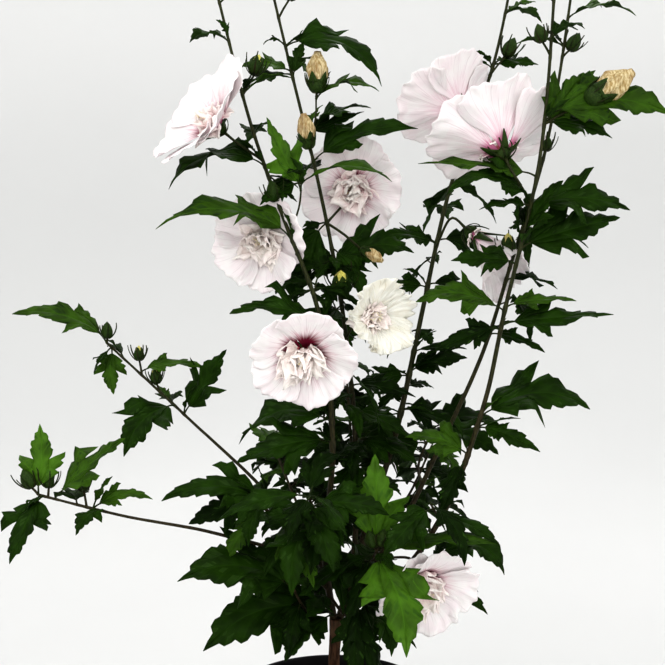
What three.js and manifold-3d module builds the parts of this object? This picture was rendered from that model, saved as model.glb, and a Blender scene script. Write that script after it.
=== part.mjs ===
// A double-flowered hibiscus shrub growing in a round nursery pot.
// Millimetres, +Z up. The origin is the centre of the pot's flat underside, and the shrub is
// seen from its front when looking along +Y, with +X to the right.
import * as THREE from 'three';
import { mergeVertices } from 'three/addons/utils/BufferGeometryUtils.js';
import Module from 'manifold-3d';

const wasm = await Module();
wasm.setup();

// Pot and soil
const potHeight = 175;
const potRimRadius = 98.5;
const potBaseRadius = 72;
const potWall = 1.6;
const rimBandHeight = 16;
const rimBandStep = 2.2;
const potSides = 30;
const drainCount = 6;
const drainRadius = 5;
const drainCircle = 50;
const soilDepthBelowRim = 19;
const soilCrown = 3;
const soilFlatRadius = 22;

// Clearance kept between solids that meet, and the extra skin used when testing for room
const seatGap = 0.3;
const testSkin = 0.35;

// Trunk
const trunkFootRadius = 11;
const trunkWaistRadius = 5.6;
const trunkKnuckleRadius = 7.2;
const forkHeight = 248;

// Leaves. Half of the outline is [share of length, share of length across]: the side lobe's tip
// and the notch above it. The blade is thickest at its ribs' shares of the length.
const petioleShare = 0.22;
const shortestPetiole = 7;
const petioleRise = 8;
const petioleWidth = 1.1;
const leafThickness = 2.2;
const leafOutline = [[0.34, 0.31], [0.49, 0.165]];
const leafRibs = [0.25, 0.55];
const leafFold = 0.22;

// Blooms, buds and husks. The last two are turned from [radius, height] shares of their size.
const pedicelRadius = 1.4;
const petalThickness = 2.4;
const calyxRadius = 6;
const calyxLength = 13;
const throatRadius = 7.5;
const bloomDepth = 16;
const petalCount = 5;
const ruffleDepth = 0.16;
const ruffleReach = 0.1;
const budProfile = [[0.2, 0], [0.34, 0.35], [0.26, 0.7]];
const huskProfile = [[0.12, 0], [0.2, 0.25], [0.27, 0.6], [0.2, 0.92]];
const budStalkRadius = 1.1;
const huskStalkRadius = 1.3;
const twigGirth = 2.2;

// Every stem: the points it passes, its girth (diameter) at foot and tip, and the share of its
// length at which its bare bough ends and its leafy part begins. `from` names the stem it springs
// from and where along it. Leaves are [share, bearing, lift, blade length, droop, roll]: bearing
// is counted from +X towards +Y, lift is the rise from level at the blade's foot, droop is how far
// the blade bends down by its tip, and roll turns it about its midrib. Buds and spent blooms
// (husks) are [share, bearing, lift, stalk, size]. Blooms give the place of the calyx, where the
// bloom faces, its spread and its cup (how far the petals stand forward).
const leaders = {
  right_leader: {
    way: [[7, 4, 246], [38, 38, 341], [68, 56, 434], [94, 72, 550], [126, 90, 689], [173, 104, 822],
      [200, 110, 950]],
    girth: [9, 2.6], bare: 0.27,
    leaves: [
      [0.55, 212, 15, 64, 25, -45], [0.555, 0, 5, 66, 35, 55], [0.485, 180, 15, 42, 30, -40],
      [0.49, 0, 5, 50, 35, 40], [0.39, 0, 18, 48, 35, 35], [0.355, 182, 0, 48, 40, -50],
      [0.36, 350, 10, 46, 40, 45], [0.3, 190, -10, 55, 30, -50], [0.305, 5, 0, 55, 40, 50],
      [0.82, 180, 30, 30, 30, -30], [0.825, 0, 8, 40, 20, 40], [0.9, 40, 25, 55, 60, 0],
      [0.94, 190, 30, 60, 70, 0], [1, 120, 45, 40, 50, 0], [0.6, 80, 15, 60, 50, 0],
    ],
    spurs: { count: 1, from: 0.6, to: 0.78, bearings: [40, 140], reach: 14, size: 58 },
    buds: [[0.81, 0, 50, 26, 22], [0.955, 10, 60, 12, 17]],
    blooms: [{ at: 0.7, base: [137, 70, 761], faces: [132, 44], spread: 120, cup: 0.35 }],
  },
  left_leader: {
    way: [[1, 0, 249], [-7, -8, 312], [0, -16, 435], [-13, -10, 559], [-49, 4, 656],
      [-83, 20, 753], [-126, 38, 920]],
    girth: [8, 2.5], bare: 0.23,
    leaves: [
      [0.296, 160, 16, 96, 74, -35], [0.265, 192, 12, 84, 50, -40], [0.423, 201, 43, 89, 71, -30],
      [0.563, 196, 39, 126, 80, -35], [0.68, 184, 25, 94, 90, -15], [0.665, 330, -35, 34, 10, 40],
      [0.79, 0, 45, 46, 60, 0], [0.87, 150, 35, 45, 70, 0], [0.93, 10, 30, 60, 60, 10],
      [0.96, 200, 25, 55, 60, 0], [1, 60, 45, 42, 50, 0], [0.73, 100, 20, 60, 50, 0],
      [0.5, 120, 10, 65, 50, 0],
    ],
    spurs: { count: 1, from: 0.35, to: 0.62, bearings: [60, 150], reach: 14, size: 60 },
    twigs: [{
      at: 0.575, bearing: 25, lift: 78, length: 62, girth: 2.4,
      leaves: [[0.6, 205, 58, 62, 0, -68], [0.831, 346, 27, 82, 63, 25], [0.96, 250, 10, 30, 30, 0]],
    }],
    buds: [[0.79, 20, 60, 24, 22], [0.615, 200, 60, 8, 22], [1, 90, 80, 5, 15]],
    blooms: [
      { at: 0.69, base: [-107, 5, 740], faces: [212, 34], spread: 132, cup: 0.32 },
      { at: 0.54, base: [-64, 42, 636], faces: [250, -4], spread: 102, cup: 0.35 },
      { at: 0.4, base: [-28, -42, 532], faces: [269, -25], spread: 98, cup: 0.35 },
    ],
  },
  middle_leader: {
    from: ['right_leader', 0.05],
    way: [[23, 24, 319], [23, 36, 437], [11, 42, 557], [-13, 52, 686], [-42, 62, 806],
      [-74, 66, 940]],
    girth: [7, 2.5], bare: 0.18,
    leaves: [
      [0.84, 356, 9, 94, 81, 40], [0.84, 180, 40, 20, 100, 0], [0.8, 180, 20, 40, 40, -30],
      [0.795, 185, 5, 42, 50, 0], [0.821, 36, -13, 32, 41, 40], [0.7, 5, 30, 54, 20, 50],
      [0.657, 357, 35, 97, 43, 50], [0.486, 358, 45, 64, 77, 62], [0.56, 200, -50, 68, 45, -20],
      [0.5, 285, -20, 56, 40, 10], [0.52, 320, -35, 60, 40, 20], [0.44, 320, -45, 38, 20, 0],
      [0.305, 350, 8, 58, 40, 45], [0.265, 340, -5, 54, 40, 30], [0.29, 210, -10, 60, 40, -30],
      [0.92, 200, 30, 60, 60, 0], [0.95, 20, 25, 58, 60, 0], [1, 120, 45, 40, 50, 0],
      [0.64, 110, 20, 66, 50, 0],
    ],
    spurs: { count: 2, from: 0.2, to: 0.5, bearings: [50, 160], reach: 18, size: 64 },
    twigs: [{
      at: 0.69, bearing: 355, lift: 80, length: 46, girth: 2.4,
      leaves: [[0.2, 11, 49, 61, 62, 10], [0.95, 8, 42, 62, 80, 20]], husks: [[1, 10, 82, 4, 42]],
    }],
    husks: [[0.655, 205, 70, 15, 36], [0.56, 335, -20, 30, 22]],
    buds: [[0.44, 0, 85, 30, 20], [0.885, 10, 60, 22, 24], [1, 90, 80, 5, 15]],
    blooms: [
      { at: 0.56, base: [24, 118, 691], faces: [263, -4], spread: 114, cup: 0.35 },
      { at: 0.38, base: [33, 10, 556], faces: [298, 5], spread: 70, cup: 0.6 },
    ],
  },
  inner_right_leader: {
    from: ['right_leader', 0.03],
    way: [[67, 22, 333], [107, 20, 415], [152, 12, 519], [180, 8, 612], [215, 14, 730],
      [246, 26, 925]],
    girth: [6.4, 2.5], bare: 0.4,
    leaves: [
      [0.63, 60, 20, 50, 50, 0], [0.76, 30, 30, 50, 60, 0], [0.86, 160, 30, 45, 60, 0],
      [0.9, 350, 30, 60, 70, 10], [0.95, 190, 30, 52, 60, 0], [1, 20, 45, 40, 50, 0],
      [0.52, 20, 10, 52, 45, 20], [0.44, 340, 0, 50, 40, 30],
    ],
    spurs: { count: 1, from: 0.5, to: 0.8, bearings: [20, 120], reach: 14, size: 58 },
    buds: [[0.575, 190, 65, 9, 20], [0.7, 10, 70, 8, 16], [0.845, 0, 45, 10, 20],
      [0.94, 20, 70, 14, 17], [1, 90, 80, 5, 15]],
    blooms: [{ at: 0.61, base: [174, 8, 612], faces: [238, 66], spread: 54, cup: 1.3 }],
  },
  far_right_leader: {
    from: ['right_leader', 0.012],
    way: [[60, -16, 291], [109, -28, 363], [147, -38, 473], [166, -44, 568], [196, -50, 709],
      [210, -52, 905]],
    girth: [7.2, 2.6], bare: 0.28,
    leaves: [
      [0.365, 0, 40, 94, 70, 35], [0.35, 335, 0, 56, 40, 45], [0.31, 165, 30, 55, 40, -50],
      [0.3, 225, -35, 55, 40, 0], [0.52, 0, 20, 58, 35, 30], [0.495, 352, 8, 88, 15, 45],
      [0.515, 182, 25, 74, 45, -35], [0.58, 185, 20, 54, 40, -50],
      [0.49, 195, 0, 76, 40, -60], [0.7, 178, 12, 94, 15, -25],
      [0.665, 200, 42, 85, 90, -45], [0.66, 200, 0, 40, 30, -20], [0.66, 0, 10, 80, 30, 50],
      [0.6, 0, 28, 84, 25, 62], [0.77, 0, 5, 40, 40, 20], [0.765, 15, 50, 52, 10, 70],
      [0.78, 355, 15, 90, 35, 40], [0.88, 290, 25, 50, 60, 0], [0.93, 180, 30, 60, 60, 0],
      [0.96, 20, 30, 55, 60, 0], [1, 250, 45, 40, 50, 0],
    ],
    buds: [[0.86, 200, 55, 14, 18], [1, 90, 80, 5, 16]],
    husks: [[0.755, 0, 38, 44, 48]],
    blooms: [{ at: 0.665, base: [164, -50, 709], faces: [115, 48], spread: 132, cup: 0.4 }],
  },
};

const sideBoughs = {
  upper_left: {
    from: ['left_leader', 0.07],
    way: [[-32, 16, 329], [-73, 30, 377], [-150, 48, 446], [-238, 58, 526]],
    girth: [5, 2.3], bare: 0.6,
    leaves: [
      [1, 183, 45, 92, 65, -35], [0.98, 285, -65, 34, 10, 0], [0.86, 0, 25, 60, 50, 25],
      [0.77, 238, -5, 74, 55, -15], [0.67, 345, 50, 70, -10, 65], [0.93, 120, 30, 45, 50, 0],
      [0.72, 100, 15, 55, 50, 0],
    ],
    buds: [[1, 90, 80, 5, 18], [0.85, 170, 80, 16, 16], [0.775, 170, 70, 9, 18]],
  },
  lower_left: {
    from: ['left_leader', 0.045],
    way: [[-40, -25, 319], [-119, -46, 350], [-199, -60, 369], [-280, -66, 391]],
    girth: [4.8, 2.3], bare: 0.66,
    leaves: [
      [1, 92, 80, 56, 0, 0], [0.985, 250, -25, 64, 45, -5], [0.95, 0, 40, 74, 0, 30],
      [0.83, 0, 30, 50, 50, 35], [0.88, 110, 20, 50, 50, 0], [0.8, 250, 10, 42, 60, 0],
    ],
    buds: [[1, 185, 50, 9, 20], [0.97, 90, 70, 9, 16], [0.85, 120, 60, 16, 16]],
  },
};

// Short leafy sprays round the foot of the shrub, each on one stem of its own
const sprays = {
  low_left: {
    from: ['left_leader', 0.012], way: [[-24, -24, 264], [-42, -48, 302]], girth: [4, 2.2],
    leaves: [[0.05, 205, 12, 118, 50, -55], [0.83, 205, 28, 106, 54, -50], [1, 140, 30, 66, 60, 0],
      [0.6, 255, -25, 66, 50, 0]],
    spurs: { count: 1, from: 0.7, to: 1, bearings: [110, 200], reach: 12, size: 66 },
  },
  core_left: {
    from: ['left_leader', 0.11], way: [[-42, -32, 350], [-80, -46, 386]], girth: [4, 2.2],
    leaves: [[0.8, 195, 45, 94, 88, -42], [0.9, 190, -8, 72, 20, -50], [0.8, 210, -35, 66, 30, -20],
      [1, 130, 35, 60, 50, 0], [0.6, 300, -15, 72, 50, 10], [0.5, 240, -25, 72, 40, 0]],
    spurs: { count: 1, from: 0.35, to: 0.95, bearings: [150, 240], reach: 14, size: 68 },
  },
  core_front: {
    from: ['left_leader', 0.14], way: [[-14, -50, 362], [-22, -84, 392]], girth: [4, 2.2],
    leaves: [[1, 195, 10, 76, 50, -40], [0.9, 292, -25, 66, 40, 10], [1, 60, 50, 62, 60, 20],
      [0.8, 340, 20, 66, 50, 40], [0.75, 250, -35, 74, 40, 0], [0.6, 25, 5, 60, 50, 45]],
    spurs: { count: 1, from: 0.4, to: 0.7, bearings: [190, 350], reach: 14, size: 66 },
  },
  low_front: {
    from: ['left_leader', 0.035], way: [[14, -32, 262], [26, -58, 286]], girth: [3.8, 2.2],
    leaves: [[1, 262, -58, 62, 22, 0], [0.85, 300, -45, 60, 30, 20], [0.6, 285, -60, 60, 20, 0]],
  },
  bright_front: {
    from: ['middle_leader', 0.03], way: [[34, -24, 312], [42, -72, 338]], girth: [4, 2.2],
    leaves: [[1, 95, 80, 76, 0, 0], [0.97, 7, 6, 86, 14, 35], [0.96, 285, -29, 96, 22, 0],
      [0.8, 235, -35, 60, 40, 0], [0.6, 200, 0, 62, 50, -30]],
    buds: [[1, 200, 55, 5, 18], [1, 340, 60, 6, 18]],
    blooms: [{ at: 0.7, base: [90, -44, 323], faces: [296, -40], spread: 100, cup: 0.35 }],
  },
  low_right: {
    from: ['far_right_leader', 0.05], way: [[74, -12, 282], [108, -4, 314]], girth: [4, 2.2],
    leaves: [[0.98, 340, 38, 70, 110, 25], [0.8, 345, -22, 52, 30, 30], [1, 60, 30, 60, 60, 0],
      [0.6, 250, -30, 56, 40, 0]],
    spurs: { count: 1, from: 0.6, to: 1, bearings: [20, 100], reach: 12, size: 58 },
  },
  core_right: {
    from: ['inner_right_leader', 0.2], way: [[92, 62, 396], [108, 84, 430]], girth: [4, 2.2],
    leaves: [[1, 15, 20, 70, 50, 45], [0.9, 330, -10, 70, 50, 40], [0.8, 195, 0, 70, 50, -50],
      [1, 120, 40, 56, 50, 0]],
    spurs: { count: 1, from: 0.4, to: 0.95, bearings: [0, 200], reach: 14, size: 66 },
  },
  mid_right: {
    from: ['far_right_leader', 0.2], way: [[104, -58, 362], [92, -78, 386]], girth: [3.6, 2],
    leaves: [[1, 300, -20, 62, 50, 0], [0.85, 215, -10, 62, 50, -30], [0.6, 330, 5, 56, 50, 30]],
  },
  back_left: {
    from: ['left_leader', 0.08], way: [[-30, 44, 340], [-62, 98, 402]], girth: [4.4, 2.2],
    leaves: [[1, 150, 30, 70, 60, 0], [0.9, 90, 0, 72, 60, 0], [0.8, 190, 5, 70, 50, -40],
      [0.7, 60, 0, 70, 60, 0], [0.5, 130, -10, 70, 50, 0]],
    spurs: { count: 2, from: 0.4, to: 0.98, bearings: [40, 210], reach: 18, size: 68 },
  },
  back_middle: {
    from: ['middle_leader', 0.1], way: [[20, 88, 420], [14, 128, 512]], girth: [4.4, 2.2],
    leaves: [[1, 100, 40, 62, 60, 0], [0.92, 10, 0, 70, 60, 40], [0.85, 175, 0, 70, 60, -40],
      [0.7, 85, 0, 70, 60, 0], [0.6, 340, -10, 62, 50, 40]],
    spurs: { count: 2, from: 0.35, to: 0.95, bearings: [20, 160], reach: 18, size: 68 },
  },
  back_right: {
    from: ['right_leader', 0.1], way: [[80, 92, 350], [112, 134, 402]], girth: [4.4, 2.2],
    leaves: [[1, 60, 30, 70, 60, 0], [0.9, 110, 0, 72, 60, 0], [0.8, 0, 0, 70, 50, 40],
      [0.7, 150, 0, 64, 60, 0], [0.5, 40, -10, 70, 50, 0]],
    spurs: { count: 2, from: 0.4, to: 0.98, bearings: [0, 140], reach: 18, size: 68 },
  },
  low_back: {
    from: ['right_leader', 0.03], way: [[14, 52, 268], [8, 92, 300]], girth: [4, 2.2],
    leaves: [[1, 90, 10, 74, 60, 0], [0.85, 20, -5, 72, 50, 30], [0.8, 160, -5, 72, 50, -30],
      [0.6, 200, -20, 66, 40, -30]],
    spurs: { count: 1, from: 0.5, to: 1, bearings: [10, 170], reach: 16, size: 66 },
  },
};

// Seeded draws, the same in every run
let drawState = 2029;
function draw(low, high) {
  drawState = (drawState * 16807) % 2147483647;
  return low + (high - low) * (drawState / 2147483647);
}

const radians = (degrees) => (degrees * Math.PI) / 180;

function heading(bearing, lift) {
  const b = radians(bearing);
  const e = radians(lift);
  return new THREE.Vector3(Math.cos(e) * Math.cos(b), Math.cos(e) * Math.sin(b), Math.sin(e));
}

// Solids: a closed geometry is welded and turned so that its faces point out

function solidOf(geometry) {
  geometry.deleteAttribute('normal');
  geometry.deleteAttribute('uv');
  const merged = mergeVertices(geometry, 1e-4);
  const index = Array.from(merged.index.array);
  const corners = merged.attributes.position;
  const faces = [];
  let volume = 0;
  const a = new THREE.Vector3();
  const b = new THREE.Vector3();
  const c = new THREE.Vector3();
  for (let k = 0; k < index.length; k += 3) {
    const [i, j, m] = index.slice(k, k + 3);
    if (i === j || j === m || i === m) continue;
    faces.push([i, j, m]);
    a.fromBufferAttribute(corners, i);
    b.fromBufferAttribute(corners, j);
    c.fromBufferAttribute(corners, m);
    volume += a.dot(b.cross(c));
  }
  const triVerts = faces.flatMap(([i, j, m]) => (volume > 0 ? [i, j, m] : [i, m, j]));
  return new wasm.Manifold(new wasm.Mesh({
    numProp: 3,
    vertProperties: new Float32Array(corners.array),
    triVerts: new Uint32Array(triVerts),
  }));
}

function largestBody(solid) {
  const bodies = solid.decompose();
  return bodies.reduce((best, body) => (body.volume() > best.volume() ? body : best));
}

function meshOf(name, solid, material) {
  const mesh = solid.getMesh();
  const geometry = new THREE.BufferGeometry();
  const count = mesh.vertProperties.length / mesh.numProp;
  const corners = new Float32Array(count * 3);
  for (let k = 0; k < count; k++) {
    for (let axis = 0; axis < 3; axis++) {
      corners[k * 3 + axis] = mesh.vertProperties[k * mesh.numProp + axis];
    }
  }
  geometry.setAttribute('position', new THREE.BufferAttribute(corners, 3));
  geometry.setIndex(Array.from(mesh.triVerts));
  geometry.computeVertexNormals();
  const result = new THREE.Mesh(geometry, material);
  result.name = name;
  return result;
}

// Stems: a lathe-turned rod of unit radius is bent along a curve and given its taper

class Stem {
  constructor(points, footRadius, tipRadius) {
    this.curve = new THREE.CatmullRomCurve3(points, false, 'centripetal');
    this.curve.arcLengthDivisions = 400;
    this.length = this.curve.getLength();
    this.footRadius = footRadius;
    this.tipRadius = tipRadius;
  }

  point(share) {
    return this.curve.getPointAt(Math.min(Math.max(share, 0), 1));
  }

  radius(share) {
    return this.footRadius + (this.tipRadius - this.footRadius) * Math.pow(share, 0.8);
  }

  solid(from, to, sides, steps, skin = 0) {
    const profile = [new THREE.Vector2(0, 0)];
    for (let ring = 0; ring <= steps; ring++) profile.push(new THREE.Vector2(1, ring));
    profile.push(new THREE.Vector2(0, steps));
    const rod = new THREE.LatheGeometry(profile, sides);
    const frames = this.frames(from, to, steps);
    const corners = rod.attributes.position;
    for (let k = 0; k < corners.count; k++) {
      const frame = frames[Math.round(corners.getY(k))];
      const reach = frame.radius + skin;
      const spot = frame.centre.clone()
        .addScaledVector(frame.side, corners.getX(k) * reach)
        .addScaledVector(frame.back, corners.getZ(k) * reach);
      corners.setXYZ(k, spot.x, spot.y, spot.z);
    }
    return solidOf(rod);
  }

  frames(from, to, steps) {
    const frames = [];
    let side = null;
    for (let ring = 0; ring <= steps; ring++) {
      const share = from + ((to - from) * ring) / steps;
      const along = this.curve.getTangentAt(Math.min(share, 1));
      if (side === null) side = new THREE.Vector3(1, 0, 0).cross(along).normalize();
      side = side.addScaledVector(along, -side.dot(along)).normalize();
      const back = along.clone().cross(side).normalize();
      frames.push({ centre: this.point(share), radius: this.radius(share), side: side.clone(), back });
    }
    return frames;
  }
}

// Leaves: a folded three-lobed blade that is thickest along its midrib, on a square-edged stalk

function leafSolid(root, [, bearing, lift, length, droop, roll], skin = 0) {
  const stalk = Math.max(length * petioleShare, shortestPetiole);
  const foot = root.clone().addScaledVector(heading(bearing, lift + petioleRise), stalk);
  const start = radians(lift);
  const bend = Math.abs(droop) < 1 ? radians(1) : radians(droop);
  const turn = radians(roll);
  const level = new THREE.Vector3(-Math.sin(radians(bearing)), Math.cos(radians(bearing)), 0);

  function place(share, across, rise) {
    const rest = start - bend * share;
    const out = (length * (Math.sin(start) - Math.sin(rest))) / bend;
    const up = (length * (Math.cos(rest) - Math.cos(start))) / bend;
    const along = heading(bearing, (rest * 180) / Math.PI);
    const normal = along.clone().cross(level);
    const side = level.clone().multiplyScalar(Math.cos(turn)).addScaledVector(normal, Math.sin(turn));
    const face = normal.multiplyScalar(Math.cos(turn)).addScaledVector(level, -Math.sin(turn));
    return foot.clone()
      .add(heading(bearing, 0).multiplyScalar(out))
      .add(new THREE.Vector3(0, 0, up))
      .addScaledVector(side, across * (length + 3 * skin))
      .addScaledVector(face, rise + leafFold * Math.abs(across) * length);
  }

  const half = petioleWidth / 2 + skin;
  const thick = leafThickness / 2 + skin;
  const stalkEnd = [place(0, half / length, half), place(0, -half / length, half), place(0, 0, -half)];
  const offset = root.clone().sub(place(0, 0, 0));
  const corners = stalkEnd.map((corner) => corner.clone().add(offset)).concat(stalkEnd);
  const ribTop = leafRibs.map((share) => corners.push(place(share, 0, thick)) - 1);
  const ribBase = leafRibs.map((share) => corners.push(place(share, 0, -thick)) - 1);
  const tip = corners.push(place(1 + skin / length, 0, 0)) - 1;
  const left = leafOutline.map(([s, w]) => corners.push(place(s, w, 0)) - 1);
  const right = leafOutline.map(([s, w]) => corners.push(place(s, -w, 0)) - 1);
  const faces = [[0, 1, 2], [4, 3, ribTop[0]], [5, 4, ribBase[0]], [3, 5, ribBase[0]]];
  for (let k = 0; k < 3; k++) {
    const next = (k + 1) % 3;
    faces.push([k, 3 + next, next], [k, 3 + k, 3 + next]);
  }
  function cover(stalkEdge, [lobe, notch], [ribA, ribB], flip) {
    const strip = [[stalkEdge, lobe, ribA], [lobe, notch, ribA], [ribA, notch, ribB], [ribB, notch, tip]];
    strip.forEach(([i, j, m]) => faces.push(flip ? [i, m, j] : [i, j, m]));
  }
  cover(3, left, ribTop, false);
  cover(3, left, ribBase, true);
  cover(4, right, ribTop, true);
  cover(4, right, ribBase, false);
  const geometry = new THREE.BufferGeometry().setFromPoints(corners);
  geometry.setIndex(faces.flat());
  return solidOf(geometry);
}

// Turned pieces: blooms, buds and husks stand on an axis that starts at the calyx

function turned(base, faces, profile, sides, shift = null) {
  const points = profile.map(([radius, height]) => new THREE.Vector2(radius, height));
  const lathe = new THREE.LatheGeometry(points, sides);
  const corners = lathe.attributes.position;
  const axis = heading(...faces);
  const across = new THREE.Vector3(-Math.sin(radians(faces[0])), Math.cos(radians(faces[0])), 0);
  const over = axis.clone().cross(across);
  for (let k = 0; k < corners.count; k++) {
    let x = corners.getX(k);
    let height = corners.getY(k);
    let z = corners.getZ(k);
    if (shift) [x, height, z] = shift(x, height, z);
    const spot = base.clone().addScaledVector(axis, height).addScaledVector(across, x)
      .addScaledVector(over, z);
    corners.setXYZ(k, spot.x, spot.y, spot.z);
  }
  return solidOf(lathe);
}

function bloomSolid({ base, faces, spread, cup }, skin = 0) {
  const reach = spread / 2 + skin;
  const rim = bloomDepth + cup * reach;
  const fold = rim * 0.62;
  const profile = [[0, -skin], [calyxRadius + skin, 1], [throatRadius + skin, calyxLength],
    [reach * 0.5, fold - skin], [reach, rim - skin], [reach * 0.985, rim + petalThickness + skin],
    [reach * 0.45, fold + petalThickness + skin], [reach * 0.3, rim + 6 + skin], [0, rim + 10 + skin]];
  function ruffle(x, height, z) {
    const edge = Math.max(Math.hypot(x, z) / reach - 0.4, 0);
    const wave = edge * Math.cos(petalCount * Math.atan2(z, x));
    const grow = 1 + ruffleReach * wave;
    return [x * grow, height + ruffleDepth * wave * reach, z * grow];
  }
  return turned(new THREE.Vector3(...base), faces, profile, 10, ruffle);
}

function pedicelSolid(start, base, faces, skin = 0) {
  const end = new THREE.Vector3(...base);
  const bend = end.clone().addScaledVector(heading(...faces), -start.distanceTo(end) * 0.35);
  const stop = end.clone().addScaledVector(heading(...faces), 4);
  const stalk = new Stem([start, bend, end, stop], pedicelRadius, pedicelRadius);
  return stalk.solid(0, 1, 4, 4, skin);
}

function fruitSolid(root, [, bearing, lift, stalk, size], shares, stalkRadius, nod, sides, skin) {
  const end = root.clone().addScaledVector(heading(bearing, lift), stalk);
  const stalkEnd = end.clone().addScaledVector(heading(bearing, lift), 2 * stalkRadius);
  const outline = shares.map(([radius, height]) => [size * radius + skin, size * height]);
  const profile = [[0, -skin], ...outline, [0, size + skin]];
  const rod = new Stem([root, stalkEnd], stalkRadius, stalkRadius).solid(0, 1, 3, 1, skin);
  return rod.add(turned(end, [bearing, Math.min(lift + nod, 88)], profile, sides));
}

function budSolid(root, bud, skin = 0) {
  return fruitSolid(root, bud, budProfile, budStalkRadius, 15, 5, skin);
}

function huskSolid(root, husk, skin = 0) {
  return fruitSolid(root, husk, huskProfile, huskStalkRadius, 8, 6, skin);
}

// Growing: limbs are settled first, then blooms, buds, named leaves and seeded spurs. Whatever
// would touch something of another node is left off.

const settled = [];

function boxesApart(a, b) {
  for (let axis = 0; axis < 3; axis++) {
    if (a.max[axis] < b.min[axis] || b.max[axis] < a.min[axis]) return true;
  }
  return false;
}

function hasRoom(node, probe) {
  const box = probe.boundingBox();
  return settled.every((other) => other.node === node || boxesApart(box, other.box)
    || probe.intersect(other.solid).isEmpty());
}

function settle(node, solid) {
  settled.push({ node, solid, box: solid.boundingBox() });
}

function clearOf(node, solid) {
  const box = solid.boundingBox();
  let result = solid;
  settled.forEach((other) => {
    if (other.node === node || !other.fat || boxesApart(box, other.fat.boundingBox())) return;
    result = result.subtract(other.fat);
  });
  return largestBody(result);
}

function settleLimb(node, stem, from, to, sides, steps) {
  const solid = clearOf(node, stem.solid(from, to, sides, steps));
  settled.push({ node, solid, box: solid.boundingBox(), fat: stem.solid(from, to, sides, steps, seatGap) });
  return solid;
}

const nodes = new Map();

function addTo(node, makeItem) {
  if (!hasRoom(node, makeItem(testSkin))) return false;
  const item = makeItem(0);
  nodes.get(node).parts.push(item);
  settle(node, item);
  return true;
}

function growTwig(node, stem, share, bearing, lift, length, girth) {
  const root = stem.point(share);
  const middle = root.clone().addScaledVector(heading(bearing, lift - 8), length * 0.5);
  const end = root.clone().addScaledVector(heading(bearing, lift), length);
  const twig = new Stem([root, middle, end], girth / 2, girth * 0.38);
  return addTo(node, (skin) => twig.solid(0, 1, 3, 2, skin)) ? twig : null;
}

function growBlooms(node, stem, plan) {
  (plan.blooms ?? []).forEach((bloom) => {
    const start = stem.point(bloom.at);
    const placed = addTo(node, (skin) => pedicelSolid(start, bloom.base, bloom.faces, skin));
    if (placed) addTo(node, (skin) => bloomSolid(bloom, skin));
  });
}

function growSmallFruit(node, stem, plan) {
  (plan.husks ?? []).forEach((husk) => {
    addTo(node, (skin) => huskSolid(stem.point(husk[0]), husk, skin));
  });
  (plan.buds ?? []).forEach((bud) => addTo(node, (skin) => budSolid(stem.point(bud[0]), bud, skin)));
}

function growLeaves(node, stem, plan) {
  (plan.leaves ?? []).forEach((leaf) => {
    addTo(node, (skin) => leafSolid(stem.point(leaf[0]), leaf, skin));
  });
}

function growSpurs(node, stem, { count, from, to, bearings, reach, size }) {
  for (let k = 0; k < count; k++) {
    const share = from + ((to - from) * (k + draw(0.2, 0.8))) / count;
    const bearing = bearings[0] + (bearings[1] - bearings[0]) * ((k * 0.618 + draw(0, 0.3)) % 1);
    const twig = growTwig(node, stem, share, bearing, draw(15, 50), reach * draw(0.7, 1.3), twigGirth);
    for (let fan = -1; fan <= 1; fan += 2) {
      const leaf = [1, bearing + fan * draw(40, 75), draw(-40, 20), size * draw(0.75, 1.15),
        draw(30, 65), draw(-35, 35)];
      if (twig) addTo(node, (skin) => leafSolid(twig.point(0.8 + 0.18 * fan), leaf, skin));
    }
  }
}

// Pot and soil

function potInner(height) {
  const lean = (potRimRadius - rimBandStep - potBaseRadius) / potHeight;
  return potBaseRadius + lean * height - potWall;
}

function potSolid() {
  const bandFoot = potHeight - rimBandHeight;
  const outerAtBand = potInner(bandFoot) + potWall;
  const profile = [[0, 0], [potBaseRadius - 2, 0], [potBaseRadius, 2], [outerAtBand, bandFoot],
    [potRimRadius - 0.8, bandFoot + 0.8], [potRimRadius, potHeight - 2], [potRimRadius - 1, potHeight],
    [potRimRadius - 3, potHeight], [potInner(potHeight - 4), potHeight - 4],
    [potInner(potWall + 1.4), potWall + 1.4], [potBaseRadius - 4, potWall], [0, potWall]];
  let pot = turned(new THREE.Vector3(), [0, 90], profile, potSides);
  for (let k = 0; k < drainCount; k++) {
    const angle = (2 * Math.PI * k) / drainCount;
    const drill = new THREE.CylinderGeometry(drainRadius, drainRadius, 8, 10);
    drill.rotateX(Math.PI / 2);
    drill.translate(drainCircle * Math.cos(angle), drainCircle * Math.sin(angle), 0);
    pot = pot.subtract(solidOf(drill));
  }
  return pot;
}

const soilTop = potHeight - soilDepthBelowRim;

function soilSolid() {
  const base = potWall + seatGap;
  const edge = soilTop - soilCrown;
  const profile = [[0, base], [potBaseRadius - 6, base], [potInner(base + 4) - seatGap, base + 4],
    [potInner(edge) - seatGap, edge], [potInner(edge) * 0.6, soilTop - 1], [soilFlatRadius, soilTop],
    [0, soilTop]];
  return turned(new THREE.Vector3(), [0, 90], profile, potSides);
}

// Trunk: a flared foot on the soil, a slight lean and a swollen knuckle where the stems fork

const trunkFoot = new THREE.Vector3(2, 0, soilTop + seatGap);
const trunk = new Stem([trunkFoot, new THREE.Vector3(1.5, -0.6, (soilTop + forkHeight) / 2),
  new THREE.Vector3(4, 1.5, forkHeight)], trunkFootRadius, trunkKnuckleRadius);
trunk.radius = (share) => {
  const flare = (trunkFootRadius - trunkWaistRadius) * Math.pow(1 - share, 6);
  const knuckle = (trunkKnuckleRadius - trunkWaistRadius) * Math.pow(share, 5);
  return trunkWaistRadius + flare + knuckle;
};

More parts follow.
